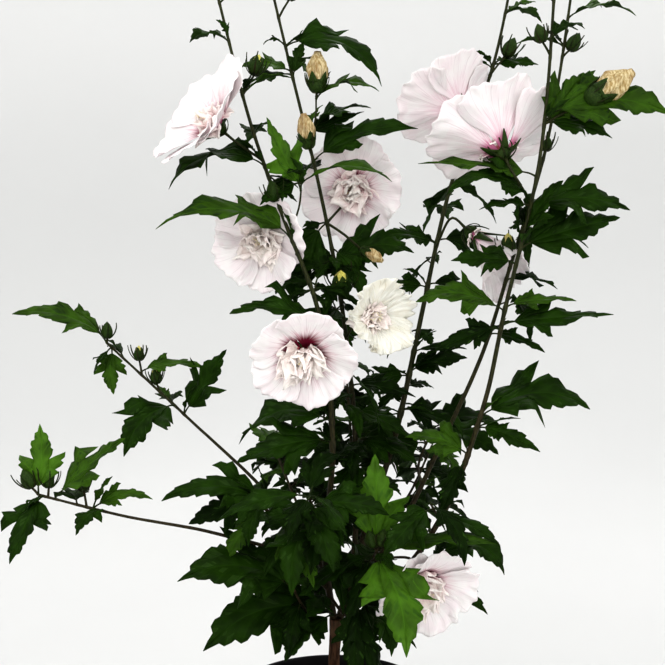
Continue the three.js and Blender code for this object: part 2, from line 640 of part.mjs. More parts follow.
const bark = new THREE.MeshStandardMaterial({ color: 0x5b4a33, roughness: 0.9, metalness: 0 });
const greenWood = new THREE.MeshStandardMaterial({ color: 0x3a4322, roughness: 0.75, metalness: 0 });
const foliage = new THREE.MeshStandardMaterial({ color: 0x2c5216, roughness: 0.5, metalness: 0 });
const potPlastic = new THREE.MeshStandardMaterial({ color: 0x141414, roughness: 0.55, metalness: 0 });
const darkSoil = new THREE.MeshStandardMaterial({ color: 0x2d2119, roughness: 1, metalness: 0 });

function settleFixed(node, solid, material) {
  nodes.set(node, { parts: [solid], material });
  settle(node, solid);
}

settleFixed('pot', potSolid(), potPlastic);
settleFixed('soil', soilSolid(), darkSoil);

const trunkSteps = 9;
nodes.set('trunk', { parts: [settleLimb('trunk', trunk, 0, 1, 10, trunkSteps)], material: bark });

const stems = new Map();
const leafyNodes = [];

function plant(name, plan) {
  const points = plan.way.map((point) => new THREE.Vector3(...point));
  if (plan.from) points.unshift(stems.get(plan.from[0]).point(plan.from[1]));
  const stem = new Stem(points, plan.girth[0] / 2, plan.girth[1] / 2);
  stems.set(name, stem);
  return stem;
}

Object.entries(leaders).forEach(([name, plan]) => plant(name, plan));
Object.entries(sideBoughs).forEach(([name, plan]) => plant(name, plan));
Object.entries(sprays).forEach(([name, plan]) => plant(name, plan));

Object.entries({ ...leaders, ...sideBoughs }).forEach(([name, plan]) => {
  const stem = stems.get(name);
  const steps = Math.max(4, Math.round((stem.length * plan.bare) / 30));
  const bough = settleLimb(`${name}_bough`, stem, 0, plan.bare, 7, steps);
  nodes.set(`${name}_bough`, { parts: [bough], material: greenWood });
});

Object.entries({ ...leaders, ...sideBoughs, ...sprays }).forEach(([name, plan]) => {
  const stem = stems.get(name);
  const node = `${name}_foliage`;
  const from = plan.bare ? plan.bare + seatGap / stem.length : 0;
  const steps = Math.max(3, Math.round((stem.length * (1 - from)) / 42));
  const limb = settleLimb(node, stem, from, 1, 5, steps);
  nodes.set(node, { parts: [limb], material: foliage });
  leafyNodes.push({ node, stem, plan });
});

leafyNodes.forEach(({ node, stem, plan }) => growBlooms(node, stem, plan));
leafyNodes.forEach((leafy) => {
  leafy.twigs = (leafy.plan.twigs ?? []).map((twig) => ({
    plan: twig,
    stem: growTwig(leafy.node, leafy.stem, twig.at, twig.bearing, twig.lift, twig.length, twig.girth),
  })).filter((twig) => twig.stem);
  growSmallFruit(leafy.node, leafy.stem, leafy.plan);
  leafy.twigs.forEach((twig) => growSmallFruit(leafy.node, twig.stem, twig.plan));
});
leafyNodes.forEach((leafy) => {
  growLeaves(leafy.node, leafy.stem, leafy.plan);
  leafy.twigs.forEach((twig) => growLeaves(leafy.node, twig.stem, twig.plan));
});
leafyNodes.forEach(({ node, stem, plan }) => {
  if (plan.spurs) growSpurs(node, stem, plan.spurs);
});

const potGroup = new THREE.Group();
const plantGroup = new THREE.Group();
nodes.forEach(({ parts, material }, name) => {
  const joined = parts.reduce((whole, piece) => whole.add(piece));
  const mesh = meshOf(name, largestBody(joined), material);
  (name === 'pot' || name === 'soil' ? potGroup : plantGroup).add(mesh);
});

const shrub = new THREE.Group();
shrub.add(potGroup, plantGroup);
export default shrub;
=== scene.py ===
# A potted hibiscus shrub with double white blooms, dressed over its construction model.
# The plans hold millimetres and degrees, and the meshes are made in metres.
import math

import bpy
import numpy as np
from mathutils import Matrix, Vector, noise


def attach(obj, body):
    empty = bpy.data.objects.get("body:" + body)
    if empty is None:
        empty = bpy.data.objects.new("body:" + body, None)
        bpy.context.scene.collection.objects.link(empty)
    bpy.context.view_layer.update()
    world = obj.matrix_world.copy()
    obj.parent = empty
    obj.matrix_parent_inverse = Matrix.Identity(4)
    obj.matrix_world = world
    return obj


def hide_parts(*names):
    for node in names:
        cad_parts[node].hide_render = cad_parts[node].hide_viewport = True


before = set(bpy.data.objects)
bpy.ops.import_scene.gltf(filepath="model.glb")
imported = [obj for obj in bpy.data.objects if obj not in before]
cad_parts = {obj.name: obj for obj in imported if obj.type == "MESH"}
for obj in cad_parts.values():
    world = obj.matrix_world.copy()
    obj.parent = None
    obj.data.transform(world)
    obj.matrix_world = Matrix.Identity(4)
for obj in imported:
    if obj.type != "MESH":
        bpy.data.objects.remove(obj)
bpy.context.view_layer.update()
mm = 0.001

# Bearings count from +X towards +Y, and lift is the rise from level. A limb has the points it
# passes, its girth at foot and tip, and the share of its length where its bare bough ends.
# Leaves: share, bearing, lift, length, droop, roll and, where they aren't dealt, form and tone; deep and dark
# are painted shade.
# Buds and husks: share, bearing, lift, stalk, size. Spurs: count, shares from and to, bearings from
# and to, reach, leaf length. Blooms: share, place of the calyx, where they face, spread, cup, look
# and, where it isn't the limb itself, the stem that carries them.
limbs = {
    "right_leader": {
        "way": [
            [7, 4, 246], [38, 38, 341], [68, 56, 434], [94, 72, 550], [126, 90, 689], [173, 104, 822],
            [200, 110, 950],
        ],
        "girth": [9, 2.6], "bare": 0.27,
        "leaves": [
            [0.55, 212, 15, 64, 25, -45], [0.555, 0, 5, 66, 35, 55], [0.485, 180, 15, 42, 30, -40],
            [0.49, 0, 5, 50, 35, 40], [0.39, 0, 18, 48, 35, 35], [0.355, 182, 0, 48, 40, -50],
            [0.36, 350, 32, 54, 40, 45], [0.3, 190, -10, 55, 30, -50], [0.305, 5, 0, 55, 40, 50],
            [0.82, 180, 30, 30, 30, -30], [0.825, 0, 8, 40, 20, 40], [0.9, 40, 25, 55, 60, 0],
            [0.94, 190, 30, 60, 70, 0], [1, 120, 45, 40, 50, 0], [0.6, 80, 15, 60, 50, 0],
        ],
        "spurs": [1, 0.6, 0.78, 40, 140, 14, 58], "buds": [[0.81, 0, 50, 26, 22], [0.955, 10, 60, 12, 17]],
        "blooms": [[0.7, [137, 70, 761], [132, 44], 120, 0.35, "behind"]],
    },
    "left_leader": {
        "way": [
            [1, 0, 249], [-7, -8, 312], [0, -16, 435], [-13, -10, 559], [-49, 4, 656], [-83, 20, 753],
            [-126, 38, 920],
        ],
        "girth": [8, 2.5], "bare": 0.23,
        "leaves": [
            [0.296, 160, 16, 96, 74, -35], [0.265, 192, 12, 84, 50, -40, "broad dark"],
            [0.24, 75, 0, 66, 50, 20], [0.26, 110, 10, 60, 50, 0],
            [0.423, 201, 43, 89, 71, -30, "broad dark"], [0.563, 196, 39, 126, 80, -35, "narrow mid"],
            [0.68, 184, 25, 94, 90, -24, "broad dark"], [0.665, 330, -35, 34, 10, 40],
            [0.79, 0, 45, 46, 60, 0], [0.87, 150, 35, 45, 70, 0], [0.93, 10, 30, 60, 60, 10],
            [0.96, 200, 25, 55, 60, 0], [1, 60, 45, 42, 50, 0], [0.73, 100, 20, 60, 50, 0],
            [0.5, 120, 10, 65, 50, 0],
        ],
        "spurs": [1, 0.35, 0.62, 60, 150, 14, 60],
        "twigs": [{
            "at": 0.575, "bearing": 25, "lift": 78, "length": 62, "girth": 2.4,
            "leaves": [
                [0.72, 206, 62, 66, 0, -82, "broad bright"], [0.831, 346, 27, 82, 63, 25, "lance mid"],
                [0.84, 195, -12, 40, 40, -55, "broad dark"], [0.96, 250, 10, 30, 30, 0],
            ],
        }],
        "buds": [[0.79, 20, 60, 24, 22], [0.615, 200, 60, 8, 22], [1, 90, 80, 5, 15]],
        "blooms": [
            [0.69, [-107, 5, 740], [212, 34], 132, 0.32, "side"],
            [0.54, [-64, 42, 636], [250, -4], 102, 0.35, "pale"],
            [0.4, [-28, -42, 532], [269, -25], 106, 0.35, "open"],
        ],
    },
    "middle_leader": {
        "from": ["right_leader", 0.05],
        "way": [[23, 24, 319], [23, 36, 437], [11, 42, 557], [-13, 52, 686], [-42, 62, 806], [-74, 66, 940]],
        "girth": [7, 2.5], "bare": 0.18,
        "leaves": [
            [0.84, 356, 14, 102, 86, 45, "narrow dark"], [0.84, 180, 40, 20, 100, 0],
            [0.8, 180, 20, 48, 40, -40], [0.795, 185, 2, 50, 50, -20],
            [0.79, 300, 62, 34, 20, 0, "broad dark"], [0.821, 36, -13, 32, 41, 40, "broad mid"],
            [0.7, 5, 30, 54, 20, 50], [0.657, 357, 35, 97, 43, 50, "narrow dark"],
            [0.486, 358, 45, 76, 77, 62, "broad dark"], [0.56, 200, -50, 80, 45, -70, "broad dark"],
            [0.5, 285, -20, 56, 40, 10], [0.52, 320, -35, 60, 40, 20], [0.44, 320, -45, 46, 20, 0],
            [0.47, 190, 42, 66, 25, -55, "broad dark"], [0.43, 240, -24, 72, 30, 0, "broad dark"],
            [0.2, 190, 5, 48, 50, -40, "broad dark"], [0.22, 0, 0, 60, 50, 40], [0.19, 250, -30, 60, 40, 0],
            [0.305, 350, 8, 58, 40, 45], [0.265, 340, -5, 54, 40, 30], [0.29, 210, -10, 60, 40, -30],
            [0.92, 200, 30, 60, 60, 0], [0.95, 20, 25, 58, 60, 0], [1, 120, 45, 40, 50, 0],
            [0.64, 110, 20, 66, 50, 0],
        ],
        "spurs": [2, 0.2, 0.5, 50, 160, 18, 64],
        "twigs": [{
            "at": 0.69, "bearing": 355, "lift": 80, "length": 46, "girth": 2.4,
            "leaves": [[0.2, 11, 49, 61, 62, 10, "broad dark"], [0.95, 8, 42, 62, 80, 20]],
            "husks": [[1, 10, 82, 4, 42]],
        }],
        "buds": [[0.43, 268, 38, 24, 28, "open"], [0.885, 10, 60, 22, 24], [1, 90, 80, 5, 15]],
        "husks": [[0.655, 205, 70, 15, 36], [0.56, 340, -36, 46, 26]],
        "blooms": [
            [0.56, [24, 118, 691], [263, -4], 114, 0.35, "fresh"],
            [0.38, [33, 10, 556], [298, 5], 76, 0.6, "cream"],
        ],
    },
    "inner_right_leader": {
        "from": ["right_leader", 0.03],
        "way": [
            [67, 22, 333], [107, 20, 415], [152, 12, 519], [180, 8, 612], [215, 14, 730], [246, 26, 925],
        ],
        "girth": [6.4, 2.5], "bare": 0.4,
        "leaves": [
            [0.63, 60, 20, 50, 50, 0], [0.76, 30, 30, 50, 60, 0], [0.86, 160, 30, 45, 60, 0],
            [0.9, 350, 30, 60, 70, 10], [0.95, 190, 30, 52, 60, 0], [1, 20, 45, 40, 50, 0],
            [0.52, 20, 10, 52, 45, 20], [0.44, 340, 0, 50, 40, 30],
        ],
        "spurs": [1, 0.5, 0.8, 20, 120, 14, 58],
        "buds": [
            [0.54, 250, 58, 14, 23, "open"], [0.7, 10, 70, 8, 16], [0.845, 0, 45, 10, 20],
            [0.94, 20, 70, 14, 17], [1, 90, 80, 5, 15],
        ],
        "blooms": [[0.545, [137, 34, 646], [318, -34], 60, 1.5, "furled", "right_leader"]],
    },
    "far_right_leader": {
        "from": ["right_leader", 0.012],
        "way": [
            [60, -16, 291], [109, -28, 363], [147, -38, 473], [166, -44, 568], [196, -50, 709],
            [210, -52, 905],
        ],
        "girth": [7.2, 2.6], "bare": 0.28,
        "leaves": [
            [0.365, 0, 28, 94, 56, 35], [0.35, 335, 0, 56, 40, 45], [0.31, 165, 30, 55, 40, -50],
            [0.3, 225, -35, 55, 40, 0], [0.52, 0, 20, 58, 35, 30],
            [0.495, 352, 12, 88, 15, 40, "narrow dark"], [0.515, 182, 25, 74, 45, -35],
            [0.58, 185, 20, 54, 40, -50], [0.49, 195, 0, 62, 40, -60],
            [0.7, 178, 12, 94, 15, -25, "narrow mid"], [0.665, 200, 42, 85, 90, -45, "narrow dark"],
            [0.66, 200, 8, 46, 30, -30], [0.66, 0, 10, 80, 30, 50, "broad dark"],
            [0.6, 0, 28, 84, 25, 62, "broad dark"], [0.63, 95, 30, 36, 60, -55, "broad dark"],
            [0.615, 330, 62, 56, 20, 50, "broad dark"], [0.77, 0, 5, 56, 40, 50, "broad dark"],
            [0.765, 15, 50, 64, 10, 70, "broad mid"], [0.78, 355, 15, 98, 35, 55, "broad mid"],
            [0.88, 290, 25, 50, 60, 0], [0.93, 180, 30, 60, 60, 0], [0.96, 20, 30, 55, 60, 0],
            [1, 250, 45, 40, 50, 0],
        ],
        "buds": [[0.86, 200, 55, 14, 18], [1, 90, 80, 5, 16]], "husks": [[0.77, 0, 26, 44, 52]],
        "blooms": [[0.665, [164, -50, 709], [115, 48], 132, 0.4, "behind"]],
    },
    "upper_left": {
        "from": ["left_leader", 0.07],
        "way": [[-32, 16, 329], [-73, 30, 377], [-150, 48, 446], [-238, 58, 526]], "girth": [5, 2.3],
        "bare": 0.6,
        "leaves": [
            [1, 183, 45, 92, 65, -35, "narrow mid"], [0.98, 285, -65, 42, 10, 0, "broad mid"],
            [0.86, 0, 25, 60, 50, 25], [0.71, 238, -5, 78, 55, -25, "broad dark"],
            [0.67, 345, 50, 70, -10, 65], [0.93, 120, 30, 45, 50, 0], [0.72, 100, 15, 55, 50, 0],
        ],
        "buds": [[1, 90, 80, 5, 18], [0.85, 170, 80, 16, 16], [0.775, 170, 70, 9, 18]],
    },
    "lower_left": {
        "from": ["left_leader", 0.045],
        "way": [[-40, -25, 319], [-119, -46, 350], [-199, -60, 369], [-280, -66, 391]], "girth": [4.8, 2.3],
        "bare": 0.66,
        "leaves": [
            [1, 92, 80, 56, 0, 0], [0.985, 250, -25, 64, 45, -5], [0.95, 0, 40, 74, 0, 30],
            [0.83, 0, 30, 50, 50, 35], [0.88, 110, 20, 50, 50, 0], [0.8, 250, 10, 42, 60, 0, "broad dark"],
        ],
        "buds": [[1, 185, 50, 9, 20], [0.97, 90, 70, 9, 16], [0.85, 120, 60, 16, 16]],
    },
    "low_left": {
        "from": ["left_leader", 0.012], "way": [[-24, -24, 264], [-42, -48, 302]], "girth": [4, 2.2],
        "leaves": [
            [0.05, 205, 12, 118, 50, -55, "broad dark"], [0.83, 205, 35, 106, 56, -50, "broad dark"],
            [1, 140, 30, 66, 60, 0], [0.6, 255, -25, 48, 50, 0],
        ],
        "spurs": [1, 0.7, 1, 110, 200, 12, 46],
    },
    "core_left": {
        "from": ["left_leader", 0.11], "way": [[-42, -32, 350], [-80, -46, 386]], "girth": [4, 2.2],
        "leaves": [
            [0.8, 195, 45, 96, 88, -42, "narrow dark"], [0.9, 190, -8, 58, 20, -50],
            [0.8, 210, -35, 54, 30, -20], [1, 100, 5, 46, 50, 0], [0.6, 300, -15, 72, 50, 10],
            [0.5, 240, -25, 52, 40, 0],
        ],
        "spurs": [1, 0.35, 0.95, 200, 250, 14, 50],
    },
    "core_front": {
        "from": ["left_leader", 0.14], "way": [[-14, -50, 362], [-22, -84, 392]], "girth": [4, 2.2],
        "leaves": [
            [1, 195, 10, 76, 50, -40], [0.9, 292, -25, 66, 40, 10], [1, 60, 50, 62, 60, 20],
            [0.8, 340, 20, 66, 50, 40], [0.75, 250, -35, 74, 40, 0], [0.6, 25, 5, 60, 50, 45],
        ],
        "spurs": [1, 0.4, 0.7, 190, 350, 14, 66],
    },
    "low_front": {
        "from": ["left_leader", 0.035], "way": [[14, -32, 262], [26, -58, 286]], "girth": [3.8, 2.2],
        "leaves": [
            [1, 262, -58, 62, 22, 0], [0.85, 300, -45, 60, 30, 20], [0.6, 285, -60, 60, 20, 0],
            [0.9, 335, -15, 60, 35, 25], [0.5, 320, -40, 58, 20, 0], [0.7, 10, 0, 54, 40, 30],
        ],
    },
    "bright_front": {
        "from": ["middle_leader", 0.03], "way": [[34, -24, 312], [42, -72, 338]], "girth": [4, 2.2],
        "leaves": [
            [1, 95, 80, 76, 0, 0, "broad bright"], [0.97, 349, 22, 100, 38, 24, "lance mid"],
            [0.96, 285, -29, 96, 22, 0, "broad bright"], [0.8, 235, -35, 60, 40, 0],
            [0.6, 200, 0, 62, 50, -30],
        ],
        "buds": [[1, 200, 55, 5, 18], [1, 340, 60, 6, 18]],
        "blooms": [[0.7, [83, -34, 308], [288, -28], 108, 0.35, "fresh"]],
    },
    "low_right": {
        "from": ["far_right_leader", 0.05], "way": [[74, -12, 282], [108, -4, 314]], "girth": [4, 2.2],
        "leaves": [
            [0.98, 340, 38, 70, 110, 25], [0.8, 345, -22, 62, 30, 30, "lance dark"], [1, 60, 30, 60, 60, 0],
            [0.6, 250, -30, 56, 40, 0],
        ],
        "spurs": [1, 0.6, 1, 20, 100, 12, 58],
    },
    "core_right": {
        "from": ["inner_right_leader", 0.2], "way": [[92, 62, 396], [108, 84, 430]], "girth": [4, 2.2],
        "leaves": [
            [1, 15, 20, 70, 50, 45], [0.9, 330, 12, 70, 50, 40], [0.8, 195, 0, 60, 50, -50],
            [1, 120, 40, 56, 50, 0],
        ],
        "spurs": [1, 0.4, 0.95, 0, 200, 14, 66],
    },
    "mid_right": {
        "from": ["far_right_leader", 0.2], "way": [[104, -58, 362], [92, -78, 386]], "girth": [3.6, 2],
        "leaves": [[1, 300, -20, 62, 50, 0], [0.85, 215, -10, 62, 50, -30], [0.6, 330, 5, 56, 50, 30]],
    },
    "back_left": {
        "from": ["left_leader", 0.08], "way": [[-30, 44, 340], [-62, 98, 402]], "girth": [4.4, 2.2],
        "leaves": [
            [1, 100, 30, 70, 60, 0], [0.9, 90, 0, 72, 60, 0], [0.8, 110, 5, 70, 50, -40],
            [0.7, 60, 0, 70, 60, 0], [0.5, 130, -10, 70, 50, 0],
        ],
        "spurs": [2, 0.4, 0.98, 10, 90, 18, 58],
    },
    "back_middle": {
        "from": ["middle_leader", 0.1], "way": [[20, 88, 420], [14, 128, 512]], "girth": [4.4, 2.2],
        "leaves": [
            [1, 100, 40, 62, 60, 0], [0.92, 60, 0, 62, 60, 40], [0.85, 130, 0, 62, 60, -40],
            [0.7, 85, 0, 70, 60, 0], [0.6, 340, -10, 62, 50, 40],
        ],
        "spurs": [2, 0.35, 0.95, 20, 160, 18, 68],
    },
    "back_right": {
        "from": ["right_leader", 0.1], "way": [[80, 92, 350], [112, 134, 402]], "girth": [4.4, 2.2],
        "leaves": [
            [1, 60, 30, 70, 60, 0], [0.9, 110, 0, 72, 60, 0], [0.8, 45, 0, 64, 50, 40],
            [0.7, 150, 0, 64, 60, 0], [0.5, 40, -10, 70, 50, 0],
        ],
        "spurs": [2, 0.4, 0.98, 0, 140, 18, 68],
    },
    "low_back": {
        "from": ["right_leader", 0.03], "way": [[14, 52, 268], [8, 92, 300]], "girth": [4, 2.2],
        "leaves": [
            [1, 90, 10, 74, 60, 0], [0.85, 20, -5, 72, 50, 30], [0.8, 160, -5, 72, 50, -30],
            [0.6, 200, -20, 66, 40, -30],
        ],
        "spurs": [1, 0.5, 1, 10, 170, 16, 66],
    },
}


class Draws:  # seeded draws, the same in every run
    factor = 16807
    modulus = 2147483647

    def __init__(self, seed):
        self.state = seed

    def between(self, low, high):
        self.state = self.state * self.factor % self.modulus
        return low + (high - low) * self.state / self.modulus

    def about(self, reach):
        return self.between(-reach, reach)

    def angle(self):
        return self.between(0, 2 * math.pi)


def heading(bearing, lift):
    b = math.radians(bearing)
    e = math.radians(lift)
    return np.array([math.cos(e) * math.cos(b), math.cos(e) * math.sin(b), math.sin(e)])


def eased(x, low, high):
    t = np.clip((x - low) / (high - low), 0, 1)
    return t * t * (3 - 2 * t)


class Stem:  # a curve through its points, read by shares of its length
    def __init__(self, points, footRadius=1, tipRadius=1):
        knots = np.array(points, float)
        self.knots = np.vstack([2 * knots[0] - knots[1], knots, 2 * knots[-1] - knots[-2]])
        self.spans = len(knots) - 1
        self.shares = np.linspace(0, 1, 401)  # fine enough to read even steps of length from
        steps = np.linalg.norm(np.diff(self.curve(self.shares), axis=0), axis=1)
        self.reached = np.concatenate([[0], np.cumsum(steps)])
        self.length = self.reached[-1]
        self.footRadius = footRadius
        self.tipRadius = tipRadius

    def curve(self, shares):  # a Catmull-Rom curve with centripetal spacing
        place = shares * self.spans
        span = np.minimum(place.astype(int), self.spans - 1)
        rest = (place - span)[:, None]
        a, b, c, d = (self.knots[span + k] for k in range(4))
        gaps = (np.sum((q - p) ** 2, axis=1)[:, None] ** 0.25 for p, q in ((a, b), (b, c), (c, d)))
        before, here, after = gaps
        leave = ((b - a) / before - (c - a) / (before + here) + (c - b) / here) * here
        arrive = ((c - b) / here - (d - b) / (here + after) + (d - c) / after) * here
        return (b + leave * rest + (3 * (c - b) - 2 * leave - arrive) * rest ** 2
                + (2 * (b - c) + leave + arrive) * rest ** 3)

    def at(self, shares):
        return self.curve(np.interp(np.clip(shares, 0, 1) * self.length, self.reached, self.shares))

    def point(self, share):
        return self.at(np.array([share]))[0]

    def radius(self, share):
        return self.footRadius + (self.tipRadius - self.footRadius) * np.asarray(share) ** 0.6


def linked(name, data):
    made = bpy.data.objects.new(name, data)
    bpy.context.scene.collection.objects.link(made)
    return made


class Heap:  # gathers many small shapes into one mesh
    def __init__(self):
        self.corners = []
        self.faces = []
        self.slots = []
        self.smooth = []
        self.places = []
        self.cells = []
        self.count = 0

    def add(self, corners, faceSets, slots=0, places=None, cells=None):
        blank = np.zeros((len(corners), 2))
        for k, faces in enumerate(faceSets):
            self.faces.append(faces + self.count)
            self.slots.append(np.broadcast_to(slots[k] if isinstance(slots, list) else slots, len(faces)))
            self.smooth.append(np.full(len(faces), k < 2 or places is None))
        self.corners.append(corners)
        self.places.append(blank if places is None else places)
        self.cells.append(blank if cells is None else cells)
        self.count += len(corners)

    def build(self, name, materials, mapped=False):
        mesh = bpy.data.meshes.new(name)
        loops = np.concatenate([faces.ravel() for faces in self.faces])
        sides = np.concatenate([np.full(len(faces), faces.shape[1]) for faces in self.faces])
        mesh.vertices.add(self.count)
        mesh.vertices.foreach_set("co", (np.concatenate(self.corners) * mm).astype(np.float32).ravel())
        mesh.loops.add(len(loops))
        mesh.loops.foreach_set("vertex_index", loops.astype(np.int32))
        mesh.polygons.add(len(sides))
        mesh.polygons.foreach_set("loop_start", (np.cumsum(sides) - sides).astype(np.int32))
        mesh.polygons.foreach_set("material_index", np.concatenate(self.slots).astype(np.int32))
        mesh.polygons.foreach_set("use_smooth", np.concatenate(self.smooth))  # flat rims keep sheets crisp
        for material in materials:
            mesh.materials.append(material)
        if mapped:
            for layer, places in (("place", self.places), ("OFBake", self.cells)):
                mesh.uv_layers.new(name=layer)
                spots = np.concatenate(places)[loops].astype(np.float32)
                mesh.uv_layers[layer].uv.foreach_set("vector", spots.ravel())
        mesh.update(calc_edges=True)
        return linked(name, mesh)

    def piece(self, name, materials, slot, nodes=(), mapped=False):
        made = self.build(name, materials, mapped)
        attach(made, "root")
        if nodes:
            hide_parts(*nodes)
        print(name, sum(len(faces) * (faces.shape[1] - 2) for faces in self.faces), "triangles")
        return made


def turns(count):
    return np.linspace(0, 2 * math.pi, count, endpoint=False)


def stacked(*parts):
    return np.stack(np.broadcast_arrays(*parts), axis=-1)


def ringFaces(rows, sides):  # the quads between rings, and the fans that close the foot and the tip
    around = np.arange(sides)
    following = (around + 1) % sides
    row = np.arange(rows - 1)[:, None] * sides
    quads = stacked(row + around, row + following, row + sides + following, row + sides + around)
    count = rows * sides
    last = count - sides
    return [quads.reshape(-1, 4), stacked(count, following, around),
            stacked(count + 1, last + around, last + following)]


def gridFaces(rows, columns):
    k = np.arange(rows * columns).reshape(rows, columns)
    return stacked(k[:-1, :-1], k[1:, :-1], k[1:, 1:], k[:-1, 1:]).reshape(-1, 4)


def rimFaces(edge, following, count):  # between a sheet's two faces
    return stacked(following, edge, edge + count, following + count)


def tube(heap, centres, radii, sides, slot=0):  # radii by ring, or by ring and side
    tangents = np.gradient(centres, axis=0)
    tangents /= np.linalg.norm(tangents, axis=1)[:, None]
    side = np.cross([1, 0, 0] if abs(tangents[0][0]) < 0.9 else [0, 1, 0], tangents[0])
    across = np.empty_like(centres)
    for k, tangent in enumerate(tangents):
        side = side - tangent * side.dot(tangent)
        side = side / np.linalg.norm(side)
        across[k] = side
    back = np.cross(tangents, across)
    turn = turns(sides)
    reach = np.asarray(radii, float)
    reach = reach[:, :, None] if reach.ndim == 2 else reach[:, None, None]
    circle = across[:, None] * np.cos(turn)[:, None] + back[:, None] * np.sin(turn)[:, None]
    corners = (centres[:, None] + circle * reach).reshape(-1, 3)
    heap.add(np.vstack([corners, centres[:1], centres[-1:]]), ringFaces(len(centres), sides), slot)


def revolved(profile, segments, closed=True):  # a profile of radii and heights turned round the Z axis
    radii, heights = np.array(profile, float).T
    turn = turns(segments)
    radii = radii[:, None]
    corners = stacked(radii * np.cos(turn), radii * np.sin(turn), heights[:, None]).reshape(-1, 3)
    faces = ringFaces(len(radii), segments)
    heap = Heap()
    if closed:
        heap.add(np.vstack([corners, [[0, 0, heights[0]], [0, 0, heights[-1]]]]), faces)
    else:
        heap.add(corners, faces[:1])
    return heap


def shell(heap, grid, thickness, slot, places, cell):  # a sheet with two faces and a rim
    rows, columns = grid.shape[:2]
    normal = np.cross(np.gradient(grid, axis=0), np.gradient(grid, axis=1))
    normal /= np.maximum(np.linalg.norm(normal, axis=2), 1e-6)[:, :, None]
    count = rows * columns
    corners = np.concatenate([grid + normal * thickness / 2, grid - normal * thickness / 2]).reshape(-1, 3)
    k = np.arange(count).reshape(rows, columns)
    front = gridFaces(rows, columns)
    edge = np.concatenate([k[:-1, 0], k[-1, :-1], k[:0:-1, -1], k[0, :0:-1]])
    rim = rimFaces(edge, np.roll(edge, -1), count)
    flat = np.tile(places.reshape(-1, 2), (2, 1))
    left, low, wide, high = cell
    heap.add(corners, [front, front[:, ::-1] + count, rim], slot, flat, flat * [wide, high] + [left, low])


# Leaves

leafPlan = {
    # half outlines in shares of the length: the fold between the middle blade and the side lobe up to
    # the sinus, then the middle blade's margin, and the side lobe's inner and outer margins
    "forms": {
        "broad": {
            "fold": [(0, 0.008), (0.1, 0.05), (0.2, 0.085), (0.29, 0.105), (0.36, 0.116), (0.43, 0.12)],
            "middle": [(0.51, 0.17), (0.585, 0.186), (0.612, 0.142), (0.66, 0.158), (0.715, 0.146),
                       (0.742, 0.1), (0.79, 0.108), (0.845, 0.084), (0.87, 0.048), (0.935, 0.032),
                       (1, 0.002)],
            "inner": [(0.455, 0.165), (0.48, 0.215), (0.505, 0.28), (0.54, 0.365)],
            "outer": [(0, 0.01), (0.05, 0.085), (0.125, 0.17), (0.205, 0.248), (0.255, 0.215), (0.3, 0.286),
                      (0.36, 0.338), (0.405, 0.3), (0.455, 0.356), (0.54, 0.374)],
        },
        "narrow": {
            "fold": [(0, 0.008), (0.09, 0.045), (0.17, 0.07), (0.24, 0.085), (0.3, 0.092), (0.35, 0.095)],
            "middle": [(0.43, 0.125), (0.52, 0.142), (0.535, 0.112), (0.6, 0.12), (0.67, 0.112),
                       (0.685, 0.084), (0.76, 0.08), (0.83, 0.062), (0.84, 0.042), (0.92, 0.025),
                       (1, 0.002)],
            "inner": [(0.37, 0.125), (0.385, 0.16), (0.4, 0.2), (0.43, 0.26)],
            "outer": [(0, 0.01), (0.05, 0.072), (0.11, 0.13), (0.17, 0.176), (0.213, 0.15), (0.25, 0.202),
                      (0.295, 0.236), (0.33, 0.208), (0.37, 0.252), (0.435, 0.268)],
        },
        "lance": {
            "fold": [(0, 0.008), (0.07, 0.04), (0.14, 0.075), (0.21, 0.1), (0.29, 0.118), (0.37, 0.125)],
            "middle": [(0.44, 0.128), (0.52, 0.135), (0.535, 0.108), (0.6, 0.112), (0.67, 0.104),
                       (0.685, 0.08), (0.76, 0.075), (0.83, 0.058), (0.84, 0.042), (0.92, 0.024),
                       (1, 0.002)],
        },
    },
    "patterns": {"broad": 8, "narrow": 6, "lance": 3},
    "uneven": 0.009,  # how far a pattern's margin strays from the plan
    "wide": (0.88, 1.1),  # how wide a half of a pattern is drawn, and how large and plump a side lobe
    "grown": (0.8, 1.12),
    "plump": (0.95, 1.25),
    "rows": [0, 0.07, 0.52, 1],
    "lobeRows": [-1, -0.5, 0, 0.5, 1],
    "vein": 0.58,  # how far across a side lobe its vein lies
    "ribSlant": 1.45,
    "veins": 6,
    "quilt": 0.016,
    "fold": 0.2,
    "curl": 0.46,
    "wave": 0.25,
    "ripples": (11, 23),  # how often the two ripples come along a blade
    "twist": 30,
    "sway": 0.07,
    "thickness": 0.36,
    "ridge": 0.7,
    "petioleShare": 0.15,
    "bladeShare": 1.06,
    "shortestPetiole": 7,
    "petioleRise": 8,
    "petioleBow": 0.07,
    "halfCell": 0.5,  # the share of the leaf's cell in the bake's map that one face may take up
    "filled": 0.47,
    "bladeCell": (0, 0.6),  # low edge and height in that cell
    "lobeCells": {1: (0.62, 0.17), -1: (0.81, 0.17)},
    "cellsAcross": 14,
}


def leafStrip(share, across, rows, columns, cell):
    puff = (0.5 - 0.5 * np.cos(2 * math.pi * columns)) * np.sin(math.pi * np.abs(rows) ** 0.8)[:, None]
    places = stacked(columns[None] / leafPlan["veins"], 0.5 + rows[:, None] / 2)
    ridge = (np.abs(rows) < 0.01)[:, None] * (1 - share)
    return {"share": share, "across": across, "rise": leafPlan["quilt"] * puff, "ridge": ridge,
            "places": places, "cell": cell}


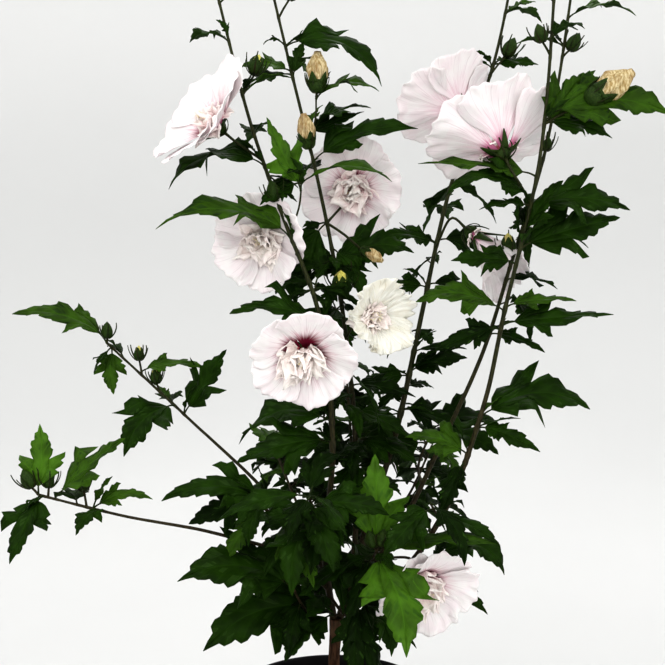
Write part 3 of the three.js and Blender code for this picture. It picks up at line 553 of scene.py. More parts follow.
def leafPattern(draws, form):  # the middle blade and, where there are any, the two side lobes
    halves = {}
    for way in (-1, 1):
        wide = draws.between(*leafPlan["wide"])
        margin = np.array(form["middle"])
        shift = np.array([draws.about(leafPlan["uneven"]) for _ in margin])
        shift[-1] = 0
        margin = margin * [1, wide] + shift[:, None]
        fold = np.array(form["fold"]) * [1, wide]
        halves[way] = (fold, np.vstack([fold, margin]), wide)
    rows = np.array([-row for row in leafPlan["rows"][:0:-1]] + leafPlan["rows"], float)
    share = np.empty((len(rows), len(halves[1][1])))
    across = np.empty_like(share)
    for j, row in enumerate(rows):
        along, out = halves[1 if row >= 0 else -1][1].T
        rib = np.maximum.accumulate(np.clip(along - leafPlan["ribSlant"] * out, 0, 0.995))
        share[j] = rib + (along - rib) * abs(row)
        across[j] = row * out
    columns = np.maximum(np.arange(share.shape[1]) - 1, 0) / 3
    strips = [leafStrip(share, across, rows, columns, leafPlan["bladeCell"])]
    if "outer" not in form:
        return strips
    rows = np.array(leafPlan["lobeRows"], float)
    for way, (fold, _, wide) in halves.items():
        grown = draws.between(*leafPlan["grown"])
        plump = draws.between(*leafPlan["plump"])
        outer = np.array(form["outer"]) * [grown, wide * grown]
        outer[1:4, 1] *= plump
        outer[1:-1] += np.array([[draws.about(0.008)] * 2 for _ in outer[1:-1]])
        inner = np.array(form["inner"]) * [1, wide]
        reach = np.linspace(0.25, 1, len(inner))[:, None]
        inner = np.vstack([fold, inner + (outer[-1] - inner[-1]) * reach])
        weights = np.interp(rows, [-1, 0, 1], [0, leafPlan["vein"], 1])[:, None, None]
        grid = inner + (outer - inner) * weights
        grid[-1, 1:-1] += [0.004, 0.006]
        strips.append(leafStrip(grid[:, :, 0], grid[:, :, 1] * way, rows * way, np.arange(len(outer)) / 3,
                                leafPlan["lobeCells"][way]))
        if way < 0:
            for key in ("share", "across", "rise", "ridge", "places"):
                strips[-1][key] = strips[-1][key][::-1]
    return strips


class Foliage:  # deals leaves into pieces, each leaf with a cell of its own in the bake's map
    def __init__(self, cellsAcross):
        self.cellsAcross = cellsAcross
        self.heaps = []
        self.inHeap = 0

    def cell(self):
        if not self.heaps or self.inHeap == self.cellsAcross ** 2:
            self.heaps.append(Heap())
            self.inHeap = 0
        size = 1 / self.cellsAcross
        row, column = divmod(self.inHeap, self.cellsAcross)
        self.inHeap += 1
        return np.array([column, row]) * size, size


toneAndShadeNames = ["deep", "dark", "mid", "bright"]
formDeals = {"narrow": 0.22, "narrowHigh": 0.33, "from": 380, "to": 560, "lance": 0.07}  # more narrow high up
# Deep and dark leaves are painted shade, darker than a leaf's own green.
toneAndShadeDeals = {  # the share of deep, dark and mid leaves on each stem, and the rest bright
    "bright_front": (0.3, 0.55, 0.15), "middle_leader": (0.3, 0.5, 0.2), "far_right_leader": (0.2, 0.5, 0.3),
    "core_front": (0.45, 0.53, 0.02), "core_left": (0.4, 0.5, 0.1), "low_left": (0.4, 0.5, 0.1),
    "low_front": (0.5, 0.48, 0.02), "upper_left": (0.05, 0.4, 0.5), "lower_left": (0.05, 0.4, 0.5),
    "others": (0.4, 0.47, 0.13),
}
leafDraws = Draws(911)
patterns = {}
for form, count in leafPlan["patterns"].items():
    patterns[form] = [leafPattern(leafDraws, leafPlan["forms"][form]) for _ in range(count)]
foliage = Foliage(leafPlan["cellsAcross"])
leafCount = 0


def dealLook(name, leaf, root):  # a leaf's form and tone, from its plan or dealt out by spray; the deep and dark tones are painted shade
    words = leaf[6].split() if len(leaf) > 6 else []
    deal = toneAndShadeDeals.get(name, toneAndShadeDeals["others"])
    pick = leafDraws.between(0, 1)
    toneAndShade = next((k for k in range(3) if pick < sum(deal[:k + 1])), 3)
    slim = formDeals["narrow"] + formDeals["narrowHigh"] * eased(root[2], formDeals["from"], formDeals["to"])
    pick = leafDraws.between(0, 1)
    form = "narrow" if pick < slim else "lance" if pick > 1 - formDeals["lance"] else "broad"
    for word in words:
        if word in toneAndShadeNames:
            toneAndShade = toneAndShadeNames.index(word)
        if word in patterns:
            form = word
    return form, toneAndShade


def layLeaf(name, root, leaf, stalks):
    global leafCount
    bearing, lift, length, droop, roll = leaf[1:6]
    form, toneAndShade = dealLook(name, leaf, root)
    pattern = patterns[form][int(leafDraws.between(0, len(patterns[form]) - 0.001))]
    stalk = max(length * leafPlan["petioleShare"], leafPlan["shortestPetiole"])
    foot = root + heading(bearing, lift + leafPlan["petioleRise"]) * stalk
    length = length * leafPlan["bladeShare"]
    start = math.radians(lift)
    bend = math.radians(droop if abs(droop) >= 1 else 1)
    ahead = heading(bearing, 0)
    level = np.array([-math.sin(math.radians(bearing)), math.cos(math.radians(bearing)), 0])
    half = leafPlan["thickness"] / 2
    twist = leafDraws.about(leafPlan["twist"])
    phase = leafDraws.angle()
    sway = leafDraws.about(leafPlan["sway"])
    corner, size = foliage.cell()
    heap = foliage.heaps[-1]
    for strip in pattern:
        share, across = strip["share"], strip["across"]
        rest = start - bend * share
        out = length * (math.sin(start) - np.sin(rest)) / bend
        up = length * (np.cos(rest) - math.cos(start)) / bend
        normal = -np.sin(rest)[:, :, None] * ahead + np.cos(rest)[:, :, None] * [0, 0, 1]
        turn = np.radians(roll + twist * (share - 0.3))[:, :, None]
        side = level * np.cos(turn) + normal * np.sin(turn)
        face = normal * np.cos(turn) - level * np.sin(turn)
        wide = np.abs(across)
        long, short = leafPlan["ripples"]
        ripple = np.sin(long * share + phase + 1.8 * np.sign(across))
        ripple = ripple + 0.5 * np.sin(short * share + 2 * phase)
        rise = leafPlan["fold"] * wide - leafPlan["curl"] * wide ** 2
        rise = rise + leafPlan["wave"] * wide * ripple + strip["rise"]
        swayed = across + sway * np.sin(math.pi * share)
        middle = foot + ahead * out[:, :, None] + side * swayed[:, :, None] * length
        middle[:, :, 2] += up
        middle += face * rise[:, :, None] * length
        top = middle + face * half
        under = middle - face * (half + leafPlan["ridge"] * strip["ridge"])[:, :, None]
        rows, columns = share.shape
        count = rows * columns
        faces = gridFaces(rows, columns)
        k = np.arange(count).reshape(rows, columns)
        # the margins alone need a rim, because the strips meet at their other sides
        edges = [rimFaces(edge[:-1], edge[1:], count) for edge in (k[0], k[-1, ::-1])]
        place = strip["places"].reshape(-1, 2)
        low, high = strip["cell"]
        upper = corner + (place * [leafPlan["filled"], high] + [0, low]) * size
        lower = upper + [size * leafPlan["halfCell"], 0]
        # The leaf's tone picks its slot; the deep and dark ones are painted shade.
        heap.add(np.concatenate([top, under]).reshape(-1, 3),
                 [faces[:, ::-1], faces + count, np.concatenate(edges)],
                 [toneAndShade, 5 if toneAndShade == 3 else 4, toneAndShade], np.tile(place, (2, 1)), np.concatenate([upper, lower]))
    bow = (root + foot) / 2 + [0, 0, leafPlan["petioleBow"] * stalk]
    bowed = Stem([root, bow, foot, foot + heading(bearing, math.degrees(start)) * 3])
    steps = np.linspace(0, 1, 7)
    tube(stalks, bowed.at(steps), np.interp(steps, [0, 0.15, 1], [1.5, 1, 0.7]), 6, 1)
    leafCount += 1


# Blooms

bloomPlan = {
    "petals": 5,
    "petalGrid": (22, 42),
    "petaloidGrid": (13, 9),
    "halfAngles": (0.44, 0.84),
    "throat": 2.5,
    "petalFoot": 10,  # heights over the calyx's base where petals, tuft and column begin
    "tuftFoot": 11,
    "columnFoot": 9,
    "columnTop": (13, 0.42),  # height and share of the reach
    "columnRadii": (2.2, 0.7),
    "antherWay": [0, 0.7, 0.82, 0.92, 1],
    "antherRadii": [0.25, 0.25, 0.75, 0.7, 0.2],
    "stalkWay": [0, 0.1, 0.85, 1],
    "stalkRadii": [1.8, 1.3, 1.4, 2.2],
    "depth": 16,
    "edgeWaves": [(0.02, 6, 0), (0.016, 17, 1), (0.009, 31, 4)],  # size, how often, which phase
    "ruffles": [(1, 3.4, 3), (0.55, 7.5, 4)],
    "petalCell": (0.2, 0.45, 0.19, 0.54),  # step, low edge, width and height in the bake's map
    "petaloidCell": (12, 0.22, 0.078, 0.2),  # how many in a row, step, width and height
    "ruffle": 0.06,
    "overlap": 0.05,
    "thickness": 0.45,
    "turnApart": 2.39996,  # the golden angle between one petaloid and the next
}


def turnedAxes(faces):  # the way a bloom or bud points, and two ways across it
    axis = heading(*faces)
    b = math.radians(faces[0])
    across = np.array([-math.sin(b), math.cos(b), 0])
    return axis, across, np.cross(axis, across)


def bloomSite(bloom):  # where a bloom sits, its axes, its reach and how far its rim stands out
    _, base, faces, spread, cup = bloom[:5]
    reach = spread / 2
    return np.array(base, float), turnedAxes(faces), reach, bloomPlan["depth"] + cup * reach


def placed(site, radius, angle, height):
    base, (axis, across, over) = site[:2]
    x = (radius * np.cos(angle))[..., None]
    z = (radius * np.sin(angle))[..., None]
    return base + axis * np.asarray(height)[..., None] + across * x + over * z


def radial(axes, angle):  # the ways out from an axis and round it
    _, across, over = axes
    outward = math.cos(angle) * across + math.sin(angle) * over
    return outward, math.cos(angle) * over - math.sin(angle) * across


def petalHeight(ratio, rim):
    x = np.clip((ratio - 0.1) / 0.9, 0, 1.2)
    low = bloomPlan["petalFoot"]
    return low + (rim - low) * (1.35 * x - 0.35 * x ** 2)


def waves(rows, place, phase):
    return sum(size * np.sin(often * place + phase[which]) for size, often, which in rows)


def growPetals(heap, site, look, draws, turn):
    reach, rim = site[2:]
    rows, columns = bloomPlan["petalGrid"]
    u = np.linspace(0, 1, rows)[:, None]
    v = np.linspace(-1, 1, columns)[None]
    grid = stacked(u, (v + 1) / 2)
    narrow, broad = bloomPlan["halfAngles"]
    for petal in range(bloomPlan["petals"]):
        phase = [draws.angle() for _ in range(6)]
        long = draws.between(0.93, 1.04)
        edge = 1 - 0.17 * np.abs(v) ** 2.6 + waves(bloomPlan["edgeWaves"], v, phase)
        radius = bloomPlan["throat"] + (reach * long * edge - bloomPlan["throat"]) * u
        spreadHere = narrow + (broad - narrow) * eased(u, 0, 0.75)
        angle = turn + 2 * math.pi * petal / bloomPlan["petals"] + v * spreadHere
        angle = angle + 0.05 * u * np.sin(5 * u + phase[2])
        ruffle = look["ruffle"] * bloomPlan["ruffle"] * u ** 2 * waves(bloomPlan["ruffles"], v, phase)
        height = petalHeight(radius / reach, rim) + (bloomPlan["overlap"] * v * u + ruffle) * reach
        crinkle = np.sin(27 * v + phase[5] + 3 * u) * (0.1 + 0.5 * u ** 3)
        crinkle = crinkle + np.sin(15 * u + 9 * v + phase[0]) * 0.4 * u
        crinkle = crinkle + np.sin(19 * v + 12 * u + phase[2]) * 1.4 * eased(u, 0.72, 1)
        sheet = placed(site, radius, angle, height + look["crinkle"] * crinkle)
        sheet[:, :, 2] -= look["wilt"] * reach * u ** 2
        step, *cell = bloomPlan["petalCell"]
        shell(heap, sheet, bloomPlan["thickness"], [0, 3, 0], grid, (petal * step, *cell))


def growTuft(heap, site, look, draws, turn):  # the small twisted petals in a double bloom's middle
    axis = site[1][0]
    reach = site[2]
    rows, columns = bloomPlan["petaloidGrid"]
    t = np.linspace(0, 1, rows)
    w = np.linspace(-1, 1, columns)
    grid = stacked(t[:, None], (w[None] + 1) / 2)
    for k in range(look["petaloids"]):
        outer = k / (look["petaloids"] - 1)
        angle = turn + k * bloomPlan["turnApart"] + draws.about(0.2)
        lean = math.radians(6 + 60 * outer + draws.about(10))
        bend = math.radians(draws.between(-40, 80))
        length = reach * look["tuft"] * draws.between(0.3, 0.5)
        wide = reach * draws.between(0.13, 0.22) * look["tuft"]
        spare = draws.between(0, 1)
        if math.sin(angle) > 0.35 and outer > 0.3 and spare < look["gap"]:
            continue
        tilt = lean + bend * t ** 1.5
        step = length / (rows - 1)
        radius = 2.5 + 2.5 * outer + np.concatenate([[0], np.cumsum(np.sin(tilt[:-1]) * step)])
        height = bloomPlan["tuftFoot"] + np.concatenate([[0], np.cumsum(np.cos(tilt[:-1]) * step)])
        spine = placed(site, radius, np.full(rows, angle), height)
        spine[:, 2] -= look["sag"] * length * t ** 2
        outward, sideways = radial(site[1], angle)
        facing = np.cos(tilt)[:, None] * outward - np.sin(tilt)[:, None] * axis
        twist = (draws.about(0.9) * t)[:, None]
        lateral = np.cos(twist) * sideways + np.sin(twist) * facing
        facing = np.cos(twist) * facing - np.sin(twist) * sideways
        widths = wide * (0.25 + 0.75 * eased(t, 0, 0.6)) * np.sqrt(1 - 0.9 * eased(t, 0.55, 1) ** 2)
        wrinkle = np.sin(6 * w[None] + 8 * t[:, None] + draws.between(0, 6)) * 0.3 * t[:, None]
        cupped = draws.between(-0.5, 0.3) * w[None] ** 2 + wrinkle
        leafy = (spine[:, None] + lateral[:, None] * (w[None] * widths[:, None])[:, :, None]
                 + facing[:, None] * (cupped * widths[:, None])[:, :, None])
        notch = 0.1 * length * np.cos(3 * w + draws.about(1)) * (t[:, None] ** 3)
        leafy = leafy + (np.gradient(spine, axis=0) / step)[:, None] * notch[:, :, None]
        inRow, rise, *cell = bloomPlan["petaloidCell"]
        shell(heap, leafy, bloomPlan["thickness"], 1, grid, (k % inRow / inRow, k // inRow * rise, *cell))


def growColumn(heap, site, look, draws, turn):
    reach, rim = site[2:]
    foot = bloomPlan["columnFoot"]
    high, share = bloomPlan["columnTop"]
    top = min(rim - 2, high + share * reach)
    lean = placed(site, np.linspace(0, 1.5, 9), np.full(9, turn), np.linspace(foot, top, 9))
    tube(heap, lean, np.linspace(*bloomPlan["columnRadii"], 9), 8, 2)
    for _ in range(look["anthers"]):
        high = foot + (top - foot) * draws.between(0.35, 1)
        angle = draws.angle()
        root = placed(site, 1.0, angle, high)
        tip = placed(site, draws.between(3, 6.5), angle, high + draws.between(0.5, 3))
        way = root + (tip - root) * np.array(bloomPlan["antherWay"])[:, None]
        tube(heap, way, bloomPlan["antherRadii"], 5, 2)


def growBloom(name, site, look, seed):
    draws = Draws(seed)
    heap = Heap()
    turn = draws.angle()
    for grow in (growPetals, growTuft, growColumn):
        grow(heap, site, look, draws, turn)
    materials = [petals[look["front"]], petals[look["middle"]], column, petals[look["back"]]]
    heap.piece(name, materials, "foliage", mapped=True)


# Calyx, buds and spent blooms

fruitPlan = {
    "budShape": [(0, 0.1), (0.08, 0.25), (0.2, 0.32), (0.35, 0.34), (0.5, 0.325), (0.65, 0.275),
                 (0.8, 0.19), (0.92, 0.09), (1, 0.012)],
    "huskShape": [(0, 0.1), (0.07, 0.17), (0.18, 0.2), (0.3, 0.205), (0.42, 0.235), (0.58, 0.245),
                  (0.72, 0.215), (0.86, 0.15), (0.95, 0.1), (1, 0.05)],
    "calyxShape": [(0, 2), (1.5, 4.2), (3.5, 5.8), (6, 6.6), (8, 7.2), (9.2, 7.7)],
    "bracts": 7,
    "sepals": 5,
    "budSepals": (0.285, -0.1, 0.6, 0.28, 0.17),  # out and more out, up and more up, half width
    "huskSepals": (0.24, 0.05, 0.24, 0.26, 0.13),
    "budNod": 15,
    "huskNod": 8,
    "budStalk": (1.3, 1.1),
    "huskStalk": (1.4, 1.3),
    "stalkBow": 0.04,
    "steepest": 88,
    "shortestBracts": 20,
}


def strip(heap, base, axes, angle, radii, heights, widths, thickness, slot):  # a narrow curved blade
    outward, sideways = radial(axes, angle)
    spine = base + outward * radii[:, None] + axes[0] * heights[:, None]
    w = np.array([-1, -0.4, 0.4, 1])
    sag = (-0.25 * w ** 2)[None] * widths[:, None]
    grid = spine[:, None] + sideways * (w[None] * widths[:, None])[:, :, None] + outward * sag[:, :, None]
    blank = np.zeros(grid.shape[:2] + (2,))
    shell(heap, grid, thickness, slot, blank, (0, 0, 1, 1))


def growBracts(heap, base, axes, size, draws, spread):
    t = np.linspace(0, 1, 7)
    for k in range(fruitPlan["bracts"]):
        angle = 2 * math.pi * (k + draws.about(0.2)) / fruitPlan["bracts"]
        long = size * draws.between(0.75, 1.1)
        out = size * 0.14 + long * spread * 0.5 * np.sin(t * draws.between(1.2, 1.9))
        high = long * 0.85 * t ** 1.3
        strip(heap, base, axes, angle, out, high, 1.35 * (1 - 0.7 * t), 0.7, 1)


def growCalyx(heap, site, draws):
    base, axes, reach, rim = site
    heights, radii = np.array(fruitPlan["calyxShape"]).T
    ribs = radii[:, None] * (1 + 0.05 * np.cos(5 * turns(20)))
    tube(heap, base + axes[0] * heights[:, None], ribs, 20, 2)
    t = np.linspace(0, 1, 9)
    for angle in turns(fruitPlan["sepals"]):
        angle = angle + draws.about(0.1)
        away = 7 + 15 * t * draws.between(0.85, 1.1)
        lifted = petalHeight(away / reach, rim) - 2.2 - 2.6 * np.sin(math.pi * t)
        lifted = lifted - 2 * t ** 4 * draws.between(0, 2)
        strip(heap, base, axes, angle, away, lifted, 4.6 * (1 - t) ** 0.75 + 0.25, 0.6, 2)
    growBracts(heap, base, axes, fruitPlan["shortestBracts"], draws, 1.25)


def growStalk(heap, root, bearing, lift, stalk, radii, nod):  # a stalk, its end and the axes there
    end = root + heading(bearing, lift) * stalk
    bowed = Stem([root, (root + end) / 2 + [0, 0, fruitPlan["stalkBow"] * stalk], end])
    tube(heap, bowed.at(np.linspace(0, 1, 5)), np.linspace(*radii, 5), 6, 0)
    return end, turnedAxes((bearing, min(lift + nod, fruitPlan["steepest"])))


def growSepals(heap, base, axes, size, angles, shape):
    out, spread, low, rise, wide = shape
    t = np.linspace(0, 1, 6)
    for angle in angles:
        strip(heap, base, axes, angle, size * (out + spread * t), size * (low + rise * t),
              size * wide * (1 - t) ** 0.8 + 0.1, 0.5, 2)


def growBud(heap, root, bud, draws, opening):
    size = bud[4]
    end, axes = growStalk(heap, root, *bud[1:4], fruitPlan["budStalk"], fruitPlan["budNod"])
    share, wide = np.array(fruitPlan["budShape"]).T
    turn = turns(20)[None]
    fine = np.linspace(0, 1, 17)
    smoothWide = np.interp(fine, share, wide)[:, None] * size
    ribs = smoothWide * (1 + 0.06 * np.cos(5 * turn + 0.6 * fine[:, None]))
    cut = 12 if opening else 17
    way = end + axes[0] * (fine * size)[:, None]
    tube(heap, way[:cut], ribs[:cut], 20, 2)
    if opening:
        swirl = smoothWide * (0.92 + 0.12 * np.cos(5 * turn + 5 * fine[:, None]))
        tube(heap, way[10:], swirl[10:], 20, 3)
        angles = [angle + draws.about(0.1) for angle in turns(fruitPlan["sepals"])]
        growSepals(heap, end, axes, size, angles, fruitPlan["budSepals"])
    growBracts(heap, end, axes, max(size * 1.1, fruitPlan["shortestBracts"]), draws, 0.9)


def growHusk(heap, root, husk, draws):
    size = husk[4]
    end, axes = growStalk(heap, root, *husk[1:4], fruitPlan["huskStalk"], fruitPlan["huskNod"])
    share, wide = np.array(fruitPlan["huskShape"]).T
    along = np.linspace(0, 1, 24)
    fine = along[:, None]
    turn = turns(30)[None]
    phase = draws.between(0, 6)
    folds = 1 + 0.13 * np.cos(5 * turn + 5 * fine + phase) * eased(fine, 0.15, 0.5)
    folds = folds + 0.07 * np.cos(11 * turn - 8 * fine + 2 * phase) * eased(fine, 0.2, 0.6)
    folds = folds + 0.04 * np.sin(23 * fine + 4 * turn) * eased(fine, 0.3, 0.6)
    lean = axes[1] * 0.06 * size * fine ** 2
    shape = np.interp(along, share, wide) * size
    way = end + axes[0] * fine * size
    tube(heap, way + lean, shape[:, None] * folds, 30, 4)
    tube(heap, way[:8], shape[:8] * 1.12, 16, 2)
    growSepals(heap, end, axes, size, turns(fruitPlan["sepals"]), fruitPlan["huskSepals"])
    t = np.linspace(0, 1, 6)
    for k in range(4):  # loose shrivelled tips
        strip(heap, end + lean[-1] * 0.8, axes, phase + 1.7 * k, size * (0.15 - 0.08 * t),
              size * (0.72 + 0.3 * t), size * (0.11 - 0.05 * t), 0.5, 4)
    growBracts(heap, end, axes, size * 0.5, draws, 1)


# Materials

class Wire:  # a node's outlet that takes Python's arithmetic
    def __init__(self, tree, outlet=None):
        self.tree = tree
        self.outlet = outlet

    def node(self, kind, settings, inputs, outlet=0):
        made = self.tree.nodes.new(kind)
        for name, value in settings.items():
            setattr(made, name, value)
        for name, value in inputs.items():
            if isinstance(value, Wire):
                self.tree.links.new(value.outlet, made.inputs[name])
            else:
                made.inputs[name].default_value = value
        return Wire(self.tree, made.outputs[outlet])

    def maths(self, operation, first, second=0.0):
        return self.node("ShaderNodeMath", {"operation": operation}, {0: first, 1: second})

    def __add__(self, other):
        return self.maths("ADD", self, other)

    def __sub__(self, other):
        return self.maths("SUBTRACT", self, other)

    def __rsub__(self, other):
        return self.maths("SUBTRACT", other, self)

    def __mul__(self, other):
        return self.maths("MULTIPLY", self, other)

    def __abs__(self):
        return self.maths("ABSOLUTE", self)

    __radd__ = __add__
    __rmul__ = __mul__

    def eased(self, low, high):
        return self.node("ShaderNodeMapRange", {"interpolation_type": "SMOOTHSTEP"},
                         {"Value": self, "From Min": low, "From Max": high})

    def mix(self, first, second):  # the first colour where self is 0, the second where it is 1
        first, second = (shade if isinstance(shade, Wire) else (*shade, 1) for shade in (first, second))
        return self.node("ShaderNodeMix", {"data_type": "RGBA"}, {0: self, 6: first, 7: second}, 2)

    def axis(self, index):
        return self.node("ShaderNodeSeparateXYZ", {}, {"Vector": self}, index)

    def noise(self, scale, detail=3.0):
        return self.node("ShaderNodeTexNoise", {}, {"Vector": self, "Scale": scale, "Detail": detail})

    def stretched(self, x, y, z):
        return self.node("ShaderNodeVectorMath", {"operation": "MULTIPLY"}, {0: self, 1: (x, y, z)})

    def bumped(self, strength, distance):
        sockets = {"Height": self, "Strength": strength, "Distance": distance}
        return self.node("ShaderNodeBump", {}, sockets, "Normal")

    def spot(self):  # where a point lies on its leaf or petal
        return self.node("ShaderNodeUVMap", {"uv_map": "place"}, {})


def material(name, fixed, build):  # build takes the object's coordinates and gives the varying sockets
    made = bpy.data.materials.new(name)
    made.use_nodes = True
    tree = made.node_tree
    shader = tree.nodes["Principled BSDF"]
    for socket, value in fixed.items():
        shader.inputs[socket].default_value = value
    here = Wire(tree).node("ShaderNodeTexCoord", {}, {}, "Object")
    for socket, wire in build(here).items():
        tree.links.new(wire.outlet, shader.inputs[socket])
    return made


def leafMaterial(name, shade, veinShade, rough, gloss):
    def build(here):
        spot = here.spot()
        column = spot.axis(0) * leafPlan["veins"]
        row = abs(spot.axis(1) - 0.5) * 2
        beside = abs(column - column.maths("ROUND", column)) * row
        vein = 1 - beside.eased(0.012, 0.06)
        rib = 1 - row.eased(0.015, 0.07)
        cloud = here.noise(55)
        dim, lit = ([part * amount for part in shade] for amount in (0.7, 1.35))
        tone = (vein * 0.2 + rib * 0.26).mix(cloud.eased(0.3, 0.7).mix(dim, lit), veinShade)
        relief = here.noise(1300, 2) * 0.35 - vein * 0.5 - rib * 0.6
        return {"Base Color": tone, "Roughness": cloud * 0.16 + rough, "Normal": relief.bumped(0.55, 0.0005)}
    return material(name, {"Specular IOR Level": gloss}, build)


# The two darkest greens are painted shade, darker than a leaf's own green, standing in for the shade among
# the leaves.
leafLooks = {  # shade, shade of the veins, roughness, gloss
    "leafShadeDeep": ((0.004, 0.0125, 0.0003), (0.012, 0.034, 0.003), 0.42, 0.05),
    "leafShadeDark": ((0.0088, 0.026, 0.0009), (0.023, 0.06, 0.005), 0.42, 0.055),
    "leafMid": ((0.026, 0.062, 0.0036), (0.05, 0.125, 0.01), 0.42, 0.07),
    "leafBright": ((0.045, 0.108, 0.007), (0.07, 0.18, 0.01), 0.42, 0.09),
    "leafUnder": ((0.017, 0.042, 0.005), (0.04, 0.085, 0.017), 0.58, 0.08),
    "leafUnderBright": ((0.036, 0.09, 0.009), (0.07, 0.15, 0.018), 0.58, 0.08),
}
leafMaterials = [leafMaterial(name, *look) for name, look in leafLooks.items()]

petalLooks = {
    "petalFresh": {
        "white": (0.88, 0.835, 0.825), "blush": (0.87, 0.765, 0.785), "pink": (0.8, 0.53, 0.6),
        "veinTone": (0.62, 0.54, 0.56), "rose": (0.5, 0.06, 0.15), "crimson": (0.13, 0.003, 0.02),
        "eye": 0.44, "veinReach": 0.66, "veins": 0.45, "streak": 0.75, "glow": 0.25,
    },
}


def vary(name, base, **changes):
    petalLooks[name] = {**petalLooks[base], **changes}


vary("petalOpen", "petalFresh", pink=(0.85, 0.66, 0.7), eye=0.56, veinReach=0.74)
vary("petalPale", "petalFresh", pink=(0.79, 0.6, 0.64), eye=0.16, veinReach=0.42, streak=0.4)
vary("petalCream", "petalPale", white=(0.84, 0.83, 0.76), blush=(0.82, 0.79, 0.68),
     veinTone=(0.6, 0.52, 0.38), veins=0.55)
vary("petalBack", "petalFresh", white=(0.82, 0.775, 0.77), blush=(0.81, 0.71, 0.73), pink=(0.82, 0.56, 0.64),
     rose=(0.66, 0.33, 0.43), crimson=(0.58, 0.17, 0.3), eye=0.32, veinReach=0.72, veins=0.6)
# The tufts' whites are lighter than the petals' to lift the shade among the crowded petaloids: painted light
# over their own white and cream.
vary("tuftFresh", "petalFresh", white=(0.98, 0.93, 0.88), blush=(0.98, 0.87, 0.84), pink=(0.94, 0.66, 0.68),
     crimson=(0.6, 0.14, 0.17), eye=0.5, veinReach=0.95, streak=0.7, glow=0)
vary("tuftPale", "tuftFresh", pink=(0.96, 0.84, 0.76), eye=0.12, streak=0.2)


def petalMaterial(name, look):
    def build(here):
        spot = here.spot()
        along = spot.axis(0)
        fan = spot.stretched(0.6, 11, 1).noise(1, 2)
        lines = spot.stretched(1.3, 52, 1).noise(1, 2)
        cloud = here.noise(70, 2)
        eye = 1 - (along + (fan - 0.5) * 0.3).eased(look["eye"] * 0.5, look["eye"])
        fade = 1 - along.eased(look["eye"] * 0.6, look["veinReach"])
        tone = (cloud.eased(0.35, 0.65) * 0.8).mix(look["white"], look["blush"])
        tone = (fade * 0.45).mix(tone, look["pink"])
        tone = (lines.eased(0.54, 0.66) * look["veins"]).mix(tone, look["veinTone"])
        tone = (lines.eased(0.5, 0.68) * fade * look["streak"]).mix(tone, look["rose"])
        tone = eye.mix(tone, look["crimson"])
        return {"Base Color": tone, "Normal": (lines + cloud * 0.6).bumped(0.45, 0.0007)}
    fixed = {"Roughness": 0.7, "Specular IOR Level": 0.15, "Subsurface Weight": look["glow"],
             "Subsurface Scale": 0.003, "Subsurface Radius": (1, 0.92, 0.9)}
    return material(name, fixed, build)


petals = {name: petalMaterial(name, look) for name, look in petalLooks.items()}


def columnColours(here):
    return {"Base Color": here.noise(500, 2).eased(0.35, 0.65).mix((0.83, 0.7, 0.42), (0.86, 0.8, 0.66))}


def stemColours(here):
    grain = here.stretched(1, 1, 0.18).noise(900, 3)
    young = (here.axis(2) + (here.noise(40, 2) - 0.5) * 0.25).eased(0.28, 0.62)
    old = grain.eased(0.35, 0.65).mix((0.013, 0.0095, 0.004), (0.042, 0.03, 0.014))
    green = grain.eased(0.35, 0.65).mix((0.011, 0.014, 0.0035), (0.034, 0.038, 0.011))
    return {"Base Color": young.mix(old, green), "Roughness": grain * 0.2 + 0.45,
            "Normal": grain.bumped(0.4, 0.0006)}


def potColours(here):
    dust = here.noise(22, 5).eased(0.5, 0.8)
    scuffs = here.stretched(1, 1, 9).noise(60, 3).eased(0.62, 0.72)
    tone = (dust * 0.35).mix((0.004, 0.004, 0.0045), (0.014, 0.013, 0.012))
    return {"Base Color": (scuffs * 0.3).mix(tone, (0.03, 0.029, 0.028)),
            "Roughness": dust * 0.2 + scuffs * 0.15 + 0.36,
            "Normal": here.noise(1600, 2).bumped(0.15, 0.0003)}


# The paper's colour changes with height to even out how the lamps light the backdrop: painted shade on the
# floor and the lower curve, painted light higher up, broken up by noise.
def paperShadeAndLightColours(here):
    high = here.axis(2) + here.noise(1.5, 2) * 0.2
    low = high.eased(0.0, 0.35).mix((0.7, 0.7, 0.697), (0.615, 0.617, 0.614))
    return {"Base Color": high.eased(0.7, 1.8).mix(low, (0.77, 0.77, 0.767))}


column = material("pollenColumn", {"Roughness": 0.7, "Subsurface Weight": 0.1, "Subsurface Scale": 0.002},
                  columnColours)
stemSkin = material("stemSkin", {"Specular IOR Level": 0.15}, stemColours)
potPlastic = material("potPlastic", {"Specular IOR Level": 0.22}, potColours)
paper = material("palePaper", {"Roughness": 0.9, "Specular IOR Level": 0.1}, paperShadeAndLightColours)


def skinMaterial(name, shades, scale, rough, bump, gloss, tall):
    def build(here):
        grain = here.stretched(1, 1, tall).noise(scale, 4)
        tone = grain.eased(0.35, 0.65).mix(shades[0], shades[1])
        tone = (here.noise(scale * 0.12, 2).eased(0.45, 0.75) * 0.6).mix(tone, shades[2])
        return {"Base Color": tone, "Roughness": grain * 0.2 + rough, "Normal": grain.bumped(*bump)}
    return material(name, {"Specular IOR Level": gloss}, build)


